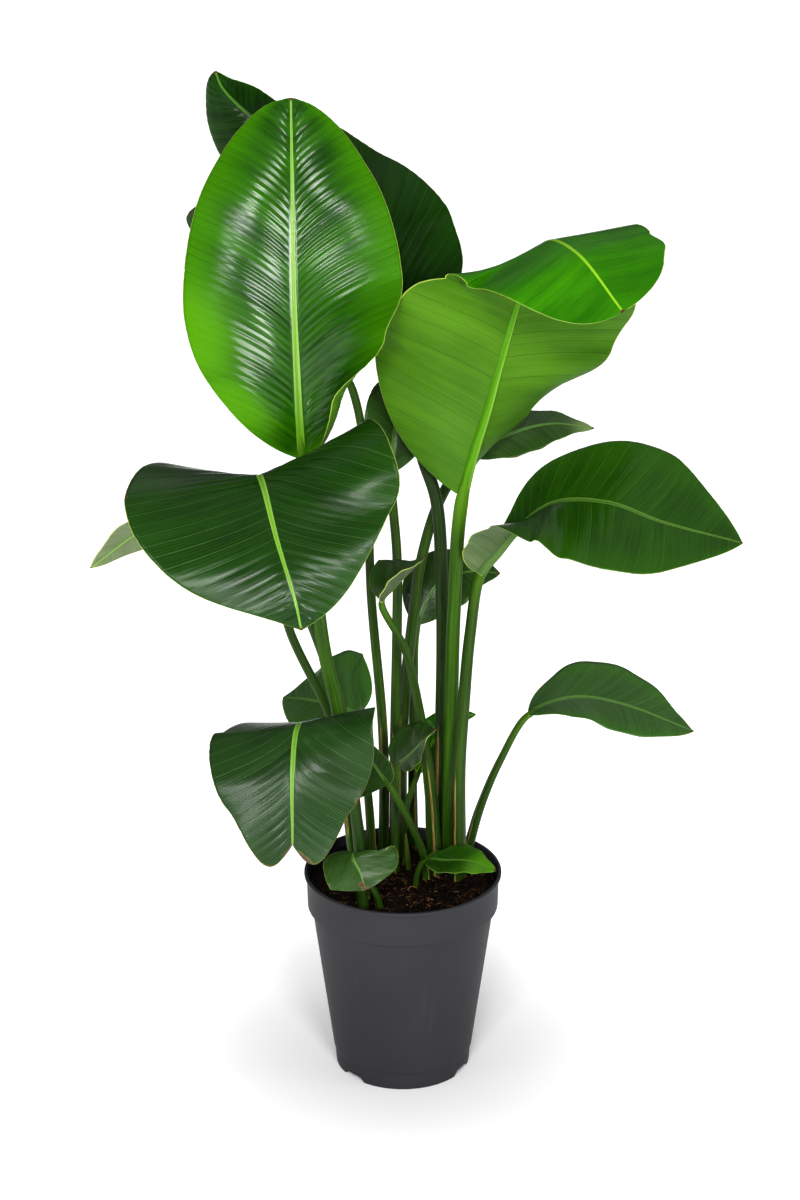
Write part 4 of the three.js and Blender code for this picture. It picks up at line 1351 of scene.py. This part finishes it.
    def vein_phase(self, leans: np.ndarray) -> np.ndarray:
        """Which vein runs through each place, with whole numbers on the stronger veins."""
        bend = VEIN_BEND_SHARE * self.by_side("width")
        climb = self.leaf.vein_climb * bend * (1.0 - np.exp(-self.reach / bend))
        lean = self.by_side("vein_lean") * self.reach
        position = self.s[:, None] * self.path.midrib + leans - climb - lean
        uneven = 0.18 * np.sin(position / 31.0 + self.index) + 0.12 * np.sin(position / 17.0)
        return position / self.leaf.pitch + uneven + VEINS_APART * (self.index + 1)

    def relief(self, phase: np.ndarray) -> tuple[np.ndarray, np.ndarray]:
        """The pleats and swells of the blade, and the nicks in its margin.

        Args:
            phase: Which vein runs through each place.

        Returns:
            Heights above the middle surface, and depths of the nicks, in mm.
        """
        strengths = np.random.default_rng(500 + self.index).uniform(0.35, 1.0, 400)
        number = np.round(phase).astype(int) - VEINS_APART * (self.index + 1) + 60
        valley = 1.0 - np.abs(2.0 * (phase - np.floor(phase)) - 1.0) ** 2.2
        share = smooth(self.reach - self.rib, 0.0, self.pleats_from)
        share = share * (1.0 - self.pleats_lost * smooth(self.out, 0.25, 0.75))
        pleats = self.leaf.pleat * (valley - 0.6) * strengths[np.clip(number, 0, 399)] * share
        waves = lumps(phase / 4.0, self.d / 45.0, 900 + self.index)
        swell = self.leaf.pleat * self.swell * waves * self.out * share
        nicks = self.nick * lumps(phase * 2.0, self.d / 80.0, 300 + self.index)
        return pleats + swell, np.abs(nicks * smooth(self.out, 0.9, 1.0))

    def thickness(self) -> tuple[np.ndarray, np.ndarray]:
        """How far the upper and the lower side are from the middle surface, in mm."""
        thick = BLADE_THICKNESS * (1.0 - (1.0 - MARGIN_SHARE) * smooth(self.out, 0.9, 1.0)) / 2.0
        share = np.clip(self.reach / self.rib, 0.0, 1.0)
        size = self.rib / RIB_HALF
        keel = RIB_DEPTH * size * np.sqrt(np.maximum(1.0 - share**2, 0.0)) * self.on_rib
        ridge = self.ridge * size * np.exp(-((share - self.ridge_at) / self.ridge_width) ** 2)
        return thick + ridge * self.on_rib, thick + keel

    def build(self) -> bpy.types.Object:
        """Makes the blade and hands it over.

        Returns:
            The finished piece.
        """
        middle, leans = self.sheet()
        phase = self.vein_phase(leans)
        relief, nicks = self.relief(phase)
        across = np.gradient(middle, axis=1)
        normal = unit(np.cross(across, np.gradient(middle, axis=0)))
        middle = middle + normal * relief[..., None]
        middle = middle - unit(across) * (np.sign(self.d) * nicks)[..., None]
        above, below = self.thickness()
        top = middle + normal * above[..., None]
        bottom = middle - normal * below[..., None]
        piece = self.shape_grid()
        cells = flat_points(piece.data)
        on_top = cells[:, 2:] > 0.5
        row, column = (np.round(cells[:, k]).astype(int) for k in (1, 0))
        place_points(piece.data, np.where(on_top, top[row, column], bottom[row, column]) * MM)
        ends = np.minimum(self.s * self.path.midrib, (1.0 - self.s) * self.tip_reach) + self.end_margin
        grids = {
            "leaf": (phase, self.d * MM, np.minimum(self.width - self.reach, ends[:, None]) * MM),
            "rim": (np.broadcast_to(self.s[:, None], phase.shape), self.out, self.d / self.rib),
            "wear": (self.spots(self.leaf.dry), self.spots(self.leaf.fresh)),
        }
        for name, parts in grids.items():
            write_attribute(piece.data, name, *(part[row, column] for part in parts))
        hand_over(piece, self.leaf.slot, f"leaf_{self.leaf.name}")
        return piece


@dataclass
class StalkBuilder:
    """Makes the stalk of one leaf, open along its face side, with a sheath's dry edges by the root."""

    leaf: Leaf
    path: LeafPath
    groove_angle: float = 26.0  # half-width of the groove, in degrees from the face side
    wing_angle: float = 40.0  # where the wings stand
    wing_height: float = 0.17  # share of the radius
    wing_width: float = 7.5
    wing_fade: tuple[float, float] = (0.25, 0.62)  # the shares of the stalk between which they fade
    stretch: float = 6.0  # about the length of one ring's stretch
    sink_from: float = 12.0  # mm before the blade's base
    sink_to: float = 8.0  # mm before the stalk's end
    tip_span: float = 14.0
    tip_loss: float = 0.85  # share of the radius that is gone at the end
    joint: tuple[float, float] = (-70.0, 10.0)  # where it pales to the blade, in mm from its base

    def frames(self, distance: np.ndarray) -> tuple[np.ndarray, np.ndarray]:
        """Side and up along the stalk, carried down from the blade's base.

        Args:
            distance: Places along the path, rising.

        Returns:
            Two lists of directions.
        """
        forward = self.path.tangent(distance)
        _, _, _, first = self.path.frame(np.zeros(1))
        up = first[0]
        ups = np.zeros_like(forward)
        for i in range(len(distance) - 1, -1, -1):
            up = up - forward[i] * np.dot(up, forward[i])
            up = up / np.linalg.norm(up)
            ups[i] = up
        return np.cross(forward, ups), ups

    def build(self) -> bpy.types.Object:
        """Makes the stalk and hands it over.

        Returns:
            The finished piece.
        """
        leaf = self.leaf
        base = self.path.base
        end = base + STALK_INTO_BLADE * leaf.rib_scale
        steps = max(24, int(end / self.stretch))
        bm = bmesh.new()
        tube(bm, STALK_SIDES, steps)
        piece = mesh_object(f"{leaf.name}_stalk", bm, leaf.tone)
        cells = flat_points(piece.data)
        ring = np.clip(np.round(cells[:, 2]).astype(int), 0, steps)
        angle = np.arctan2(cells[:, 1], cells[:, 0])
        distance = np.linspace(0.0, end, steps + 1)
        side, up = self.frames(distance)
        t = distance / base
        root, top = leaf.radius
        radius = top + (root - top) * np.maximum(1.0 - t, 0.0) ** STALK_TAPER
        sunk = smooth(distance, base - self.sink_from, end - self.sink_to)
        narrow = STALK_TIP * leaf.rib_scale
        radius = radius * (1.0 - sunk) + narrow * sunk
        radius *= 1.0 - self.tip_loss * smooth(distance, end - self.tip_span, end)
        centre = self.path.point(distance) - up * (narrow * sunk)[:, None]
        quarter = angle - math.pi / 2
        from_face = np.degrees(np.arctan2(np.sin(quarter), np.cos(quarter)))
        sheath = 1.0 - smooth(t, *self.wing_fade)
        depth = 0.1 + 0.2 * (1.0 - t[ring]).clip(0.0, 1.0)
        groove = np.exp(-((from_face / self.groove_angle) ** 2)) * depth
        wing_at = np.exp(-(((np.abs(from_face) - self.wing_angle) / self.wing_width) ** 2))
        wave = 1.0 + 0.3 * np.sin(distance[ring] / 9.0 + np.sign(from_face) * 2.0)
        wing = wing_at * sheath[ring] * self.wing_height * wave
        below = 1.0 - sunk[ring]
        size = radius[ring] * (1.0 - groove * below + wing * below)
        points = (
            centre[ring] + side[ring] * (np.cos(angle) * size)[:, None]
            + up[ring] * (np.sin(angle) * size * STALK_FLATNESS)[:, None]
        )
        place_points(piece.data, points * MM)
        piece.data.flip_normals()  # side and up turn the tube's ring the other way round
        wing_share = wing_at * sheath[ring]
        write_attribute(piece.data, "stalk", distance[ring] * MM, from_face / 180.0, wing_share)
        write_attribute(piece.data, "joint", smooth(distance - base, *self.joint)[ring])
        hand_over(piece, "stalk", f"stalk_{leaf.name}")
        return piece


@dataclass
class ShootBuilder:
    """Makes one rolled young shoot that stands in the soil."""

    name: str
    root: Point
    height: float
    radius: float
    tilt: float
    sides: int = 28
    steps: int = 40

    def build(self) -> bpy.types.Object:
        """Makes the shoot and hands it over.

        Returns:
            The finished piece.
        """
        bm = bmesh.new()
        tube(bm, self.sides, self.steps)
        piece = mesh_object(f"shoot_{self.name}_spear", bm, StalkTone.SHOOT)
        cells = flat_points(piece.data)
        t = cells[:, 2] / self.steps
        angle = np.arctan2(cells[:, 1], cells[:, 0])
        profile = np.interp(t, [0.0, 0.6, 0.88, 0.97, 1.0], [1.0, 0.95, 0.6, 0.22, 0.02])
        lap = 1.0 + 0.12 * np.exp(-(((angle + math.pi / 2 + 1.2 * t) / 0.22) ** 2))
        radius = self.radius * profile * lap * 0.93
        height = t * self.height
        lean = math.radians(self.tilt)
        x = np.cos(angle) * radius
        y = np.sin(angle) * radius
        points = np.stack([
            self.root[0] + x * math.cos(lean) + height * math.sin(lean),
            self.root[1] + y,
            self.root[2] - x * math.sin(lean) + height * math.cos(lean),
        ], axis=1)
        place_points(piece.data, points * MM)
        write_attribute(piece.data, "stalk", height * MM, angle / math.pi, smooth(t, 0.93, 1.0))
        hand_over(piece, "shoot", f"shoot_{self.name}")
        return piece


SHOOTS = [
    ShootBuilder("tall", (10.0, 22.0, 205.0), 92.0, 4.2, -4.0),
    ShootBuilder("short", (-2.0, 35.0, 205.0), 74.0, 3.2, 5.0),
]


# ---------------------------------------------------------------- pot and soil


@dataclass
class PotBuilder:
    """Moulded nursery pot with a collar, a rolled lip, a foot ledge and low drain notches."""

    foot_radius: float = 82.5
    notch_turns: tuple[float, ...] = (47.0, 172.0, 298.0)
    notch_width: float = 34.0
    notch_height: float = 7.0
    notch_slant: float = 5.0
    notch_inner: float = 69.0  # radius
    seam_turns: tuple[float, ...] = (8.0, -172.0)
    seam_half: float = 1.2  # degrees
    seam_height: float = 0.25
    steps: int = 192

    def profile(self) -> list[tuple[float, float]]:
        """Radius and height of the section: underside, outside and inside."""
        under = [(0.0, 0.0), (28.0, 0.0), (29.5, 3.4), (68.0, 3.4), (69.5, 0.0)]
        outside = [
            (81.9, 0.0), (82.5, 0.5), (82.8, 4.0), (83.1, 7.0), (83.4, 12.0), (83.7, 20.0),
            (83.82, 21.9), (84.5, 22.5), (85.1, 22.9), (85.42, 23.6), (86.2, 29.0), (92.0, 72.5),
            (98.0, 117.0), (104.3, 164.0), (109.6, 203.5), (110.5, 209.6), (110.9, 211.2),
            (112.0, 212.2), (113.6, 212.9), (115.2, 213.3), (115.9, 214.1), (116.1, 216.0),
            (116.5, 233.0), (116.9, 252.6), (117.2, 253.8), (118.2, 254.3), (119.3, 254.6),
            (119.85, 255.2), (120.0, 256.2), (119.95, 257.4), (119.5, 258.4), (118.6, 258.9),
            (117.4, 259.0),
        ]
        inside = [
            (116.4, 259.0), (115.9, 257.6), (114.6, 254.0), (114.1, 235.0), (113.6, 216.4),
            (111.0, 213.0), (108.1, 210.0), (95.0, 110.0), (81.5, 10.0), (80.4, 7.2), (78.5, 6.0),
            (70.0, 6.0), (0.0, 6.0),
        ]
        return under + outside + inside

    def build(self) -> bpy.types.Object:
        """Makes the pot and hands it over.

        Returns:
            The finished piece.
        """
        piece = spun("pot_shell", self.profile(), self.steps, Plain.POT)
        points = flat_points(piece.data)
        self.cut_notches(points)
        self.mould_line(points)
        place_points(piece.data, points)
        hand_over(piece, "pot", "pot")
        return piece

    def cut_notches(self, points: np.ndarray) -> None:
        """Lifts the foot where water runs out.

        Args:
            points: The pot's vertices, changed in place.
        """
        radius, turn = from_front(points)
        foot = (radius > self.notch_inner * MM) & (points[:, 2] < (self.notch_height - 0.2) * MM)
        for notch in self.notch_turns:
            arc = np.abs(np.radians(turned_by(-turn, notch))) * self.foot_radius
            inner = self.notch_width / 2.0 - self.notch_slant
            lift = 1.0 - np.clip((arc - inner) / self.notch_slant, 0.0, 1.0)
            raised = lift * self.notch_height * MM
            points[foot, 2] = np.maximum(points[foot, 2], raised[foot])

    def mould_line(self, points: np.ndarray) -> None:
        """Raises the faint line of the mould's seam on the wall.

        Args:
            points: The pot's vertices, changed in place.
        """
        radius, turn = from_front(points)
        outside = (radius > 83.0 * MM) & (points[:, 2] > 0.4 * MM)
        grown = 1.0 + self.seam_height * MM / np.maximum(radius, 1e-6)
        for seam in self.seam_turns:
            near = outside & (np.abs(turned_by(turn, seam)) < self.seam_half)
            points[near, :2] *= grown[near, None]


@dataclass
class SoilBuilder:
    """Fills the pot with peat: a closed body with a rough top, and loose bits on it."""

    top: float = 247.0
    radius: float = 113.2
    rings: int = 64
    sides: int = 176
    crumbs: int = 900
    fibres: int = 260
    fibre_sides: int = 4
    fibre_steps: int = 6

    def surface(self, x: np.ndarray, y: np.ndarray) -> np.ndarray:
        """Height of the peat's top, in mm.

        Args:
            x: Places, in mm.
            y: Places, in mm.

        Returns:
            One height for each place.
        """
        coarse = 2.4 * lumps(x / 14.0, y / 14.0, 11)
        middle = 1.5 * lumps(x / 5.0, y / 5.0, 12, 32)
        grain = 0.9 * lumps(x / 2.2, y / 2.2, 13, 40)
        heaped = 1.5 * np.exp(-(np.hypot(x - 20.0, y) / 60.0) ** 2)
        return self.top - 0.5 + coarse + middle + grain + heaped

    def build(self) -> list[bpy.types.Object]:
        """Makes the peat and its loose bits.

        Returns:
            The finished pieces.
        """
        return [self.build_peat(), self.build_crumbs(), self.build_fibres()]

    def build_peat(self) -> bpy.types.Object:
        """Makes the body of the peat.

        Returns:
            The finished piece.
        """
        wall = [(0.0, 6.3), (77.8, 6.3), (80.8, 10.4), (94.3, 110.3), (107.3, 210.0), (112.5, 216.6)]
        rows = wall + [(self.radius, self.top - 3.0)]
        rows += [(self.radius * i / self.rings, self.top) for i in range(self.rings - 1, -1, -1)]
        piece = spun("soil_peat", rows, self.sides, Plain.SOIL)
        points = flat_points(piece.data) / MM
        on_top = points[:, 2] > self.top - 1.0
        shifted = points[on_top]
        shifted[:, 0] += 0.8 * lumps(shifted[:, 0] / 3.0, shifted[:, 1] / 3.0, 21)
        shifted[:, 1] += 0.8 * lumps(shifted[:, 0] / 3.0, shifted[:, 1] / 3.0, 22)
        shifted[:, 2] = self.surface(shifted[:, 0], shifted[:, 1])
        points[on_top] = shifted
        place_points(piece.data, points * MM)
        hand_over(piece, "soil", "soil")
        return piece

    def spots(self, count: int, seed: int) -> np.ndarray:
        """Seeded places on the peat, in mm.

        Args:
            count: How many.
            seed: Chooses them.

        Returns:
            Rows of x, y and z.
        """
        chance = np.random.default_rng(seed)
        radius = (self.radius - 3.0) * np.sqrt(chance.uniform(0.0, 1.0, count))
        turn = chance.uniform(0.0, 2.0 * math.pi, count)
        x, y = radius * np.cos(turn), radius * np.sin(turn)
        return np.stack([x, y, self.surface(x, y)], axis=1)

    def build_crumbs(self) -> bpy.types.Object:
        """Makes the loose crumbs as one piece.

        Returns:
            The finished piece.
        """
        chance = np.random.default_rng(31)
        template = bmesh.new()
        corners = len(bmesh.ops.create_icosphere(template, subdivisions=1, radius=1.0)["verts"])
        bm = repeated(template, self.crumbs)
        spots = self.spots(self.crumbs, 32)
        points = np.array([vert.co for vert in bm.verts]).reshape(self.crumbs, corners, 3)
        points *= chance.uniform(0.65, 1.25, (self.crumbs, corners, 1))
        size = 0.6 + 2.6 * chance.uniform(size=(self.crumbs, 1, 1)) ** 3
        points *= size * chance.uniform((0.8, 0.45, 0.35), (1.3, 1.0, 0.8), (self.crumbs, 1, 3))
        turn = chance.uniform(0.0, 2.0 * math.pi, (self.crumbs, 1))
        x, y, z = points[..., 0], points[..., 1], points[..., 2]
        turned = np.stack([
            x * np.cos(turn) - y * np.sin(turn),
            x * np.sin(turn) + y * np.cos(turn),
            z + 0.3 * x,
        ], axis=2)
        tints = np.repeat(chance.uniform(size=self.crumbs) ** 2.4, corners)
        return self.finish_bits("soil_crumbs", bm, turned + spots[:, None], tints, Plain.CRUMB)

    def build_fibres(self) -> bpy.types.Object:
        """Makes the short roots and fibres as one piece.

        Returns:
            The finished piece.
        """
        chance = np.random.default_rng(41)
        template = bmesh.new()
        tube(template, self.fibre_sides, self.fibre_steps)
        bm = repeated(template, self.fibres)
        spots = self.spots(self.fibres, 42)
        points = np.array([vert.co for vert in bm.verts]).reshape(self.fibres, -1, 3)
        length = chance.uniform(2.5, 13.0, (self.fibres, 1))
        heading = chance.uniform(0.0, 2.0 * math.pi, (self.fibres, 1))
        bend = chance.uniform(-2.2, 2.2, (self.fibres, 1))
        thick = chance.uniform(0.14, 0.5, (self.fibres, 1))
        arch = chance.uniform(-0.04, 0.3, (self.fibres, 1))
        step = points[..., 2] / self.fibre_steps
        way = heading + bend * step
        along_x, along_y = np.cos(way), np.sin(way)
        taper = thick * (1.1 - 0.7 * step)
        sideways = points[..., 0] * taper
        shaped = np.stack([
            along_x * step * length - along_y * sideways,
            along_y * step * length + along_x * sideways,
            points[..., 1] * taper + 4.0 * step * (1.0 - step) * arch * length + 0.4,
        ], axis=2)
        tints = np.repeat(chance.uniform(size=self.fibres) ** 1.5, points.shape[1])
        return self.finish_bits("soil_fibres", bm, shaped + spots[:, None], tints, Plain.FIBRE)

    def finish_bits(
        self, name: str, bm: bmesh.types.BMesh, shaped: np.ndarray, tints: np.ndarray, finish: "Plain"
    ) -> bpy.types.Object:
        """Turns loose bits to a piece.

        Args:
            name: The piece's name.
            bm: The bits.
            shaped: The places of their vertices, in mm.
            tints: A tint for each vertex.
            finish: Their finish.

        Returns:
            The finished piece.
        """
        piece = mesh_object(name, bm, finish)
        points = shaped.reshape(-1, 3) * MM
        reach = np.hypot(points[:, 0], points[:, 1])
        limit = (self.radius + 0.2) * MM
        points[:, :2] *= np.minimum(1.0, limit / np.maximum(reach, 1e-9))[:, None]
        place_points(piece.data, points)
        write_attribute(piece.data, "tint", tints)
        hand_over(piece, "soil")
        return piece


# ---------------------------------------------------------------- studio


@dataclass(frozen=True)
class SoftBox:
    """A rectangular light. Places and sizes are in metres and the power is in watts."""

    name: str
    at: Point
    target: Point
    size: tuple[float, float]
    power: float

    def build(self) -> None:
        """Hangs the light."""
        data = bpy.data.lights.new(self.name, "AREA")
        data.shape = "RECTANGLE"
        data.size, data.size_y = self.size
        data.energy = self.power
        aim = Vector(self.target) - Vector(self.at)
        put_up(self.name, data, self.at, aim.to_track_quat("-Z", "Y").to_euler())


def put_up(
    name: str, data: bpy.types.ID, at: Sequence[float], turn: Sequence[float]
) -> bpy.types.Object:
    """Puts a camera or a light in the scene.

    Args:
        name: Its name.
        data: What it is.
        at: Its place, in metres.
        turn: Its rotation, in radians.

    Returns:
        The object.
    """
    made = bpy.data.objects.new(name, data)
    made.location = at
    made.rotation_euler = turn
    bpy.context.collection.objects.link(made)
    return made


@dataclass
class Studio:
    """Pale floor, soft lights and the camera at the photograph's angle."""

    eye: Point = (-3.4, -3000.0, 1747.0)
    pitch: float = 20.78  # how far it looks down, in degrees
    lens: float = 82.17
    sensor: float = 36.0
    floor_size: float = 60.0  # metres
    world: float = 0.14
    overhead: float = 0.9  # strength of the very soft light that keeps the floor even
    overhead_spread: float = 100.0  # degrees
    overhead_tilt: float = -12.0  # degrees
    boxes: tuple[SoftBox, ...] = (
        SoftBox("key", (-0.25, -3.5, 2.9), (-0.1, 0.0, 1.0), (0.55, 1.0), 52.0),
        SoftBox("low_left", (-1.05, -3.5, 1.75), (-0.1, 0.0, 0.9), (0.42, 1.1), 38.0),
        SoftBox("low_right", (0.95, -3.5, 1.65), (-0.1, 0.0, 0.9), (0.9, 1.1), 76.0),
        SoftBox("left", (-2.9, -1.5, 1.3), (0.0, 0.0, 0.6), (0.9, 2.2), 9.0),
        SoftBox("right", (2.9, -0.9, 1.6), (0.0, 0.0, 0.7), (0.9, 2.0), 9.0),
    )

    def build(self) -> None:
        """Makes the studio."""
        self.build_camera()
        self.build_floor()
        self.build_world()
        for box in self.boxes:
            box.build()
        self.build_overhead()
        view = bpy.context.scene.view_settings
        view.view_transform = "Standard"
        view.look = "Medium High Contrast"

    def build_camera(self) -> None:
        """Sets the camera."""
        data = bpy.data.cameras.new("camera")
        data.lens = self.lens
        data.sensor_width = self.sensor
        data.sensor_fit = "AUTO"
        data.clip_end = 100.0
        turn = (math.radians(90.0 - self.pitch), 0.0, 0.0)
        bpy.context.scene.camera = put_up("camera", data, Vector(self.eye) * MM, turn)

    def build_floor(self) -> None:
        """Lays the floor."""
        bm = bmesh.new()
        bmesh.ops.create_grid(bm, x_segments=2, y_segments=2, size=self.floor_size / 2.0)
        mesh_object("floor", bm, Plain.FLOOR)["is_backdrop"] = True

    def build_world(self) -> None:
        """Lights everything softly from all round."""
        world = bpy.data.worlds.new("studio")
        world.use_nodes = True
        background = world.node_tree.nodes["Background"]
        background.inputs["Color"].default_value = (1.0, 1.0, 1.0, 1.0)
        background.inputs["Strength"].default_value = self.world
        bpy.context.scene.world = world

    def build_overhead(self) -> None:
        """Hangs the very soft light over everything."""
        data = bpy.data.lights.new("overhead", "SUN")
        data.energy = self.overhead
        data.angle = math.radians(self.overhead_spread)
        put_up("overhead", data, (0.0, 0.0, 0.0), (math.radians(self.overhead_tilt), 0.0, 0.0))


class Plain(Enum):
    """Finishes of everything but the leaves and stalks."""

    POT = PotFinish()
    SOIL = SoilFinish()
    CRUMB = CrumbFinish("soil_crumb", (20, 12, 8), (92, 60, 36))
    FIBRE = CrumbFinish("soil_fibre", (74, 46, 26), (168, 124, 78))
    FLOOR = FloorFinish()


FINISHES: dict[Enum, bpy.types.Material] = {}
CAD_BOX: list[list[float]] = []


def main() -> None:
    """Builds the plant, the pot and the studio."""
    logging.basicConfig(level=logging.INFO, format="%(name)s %(message)s")
    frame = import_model()
    log.info("the packed model has %d nodes", len(frame["nodes"]))
    CAD_BOX.extend([[float(value) for value in corner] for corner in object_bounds()])
    for choice in (Upper, Under, StalkTone, Plain):
        for finish in choice:
            FINISHES[finish] = finish.value.build()
    Studio().build()
    PotBuilder().build()
    SoilBuilder().build()
    for shoot in SHOOTS:
        shoot.build()
    for index, leaf in enumerate(LEAVES):
        path = LeafPath(leaf)
        BladeBuilder(leaf, path, index, *(FINE_GRID if leaf.fine else PLAIN_GRID)).build()
        StalkBuilder(leaf, path).build()


if __name__ == "__main__":
    main()
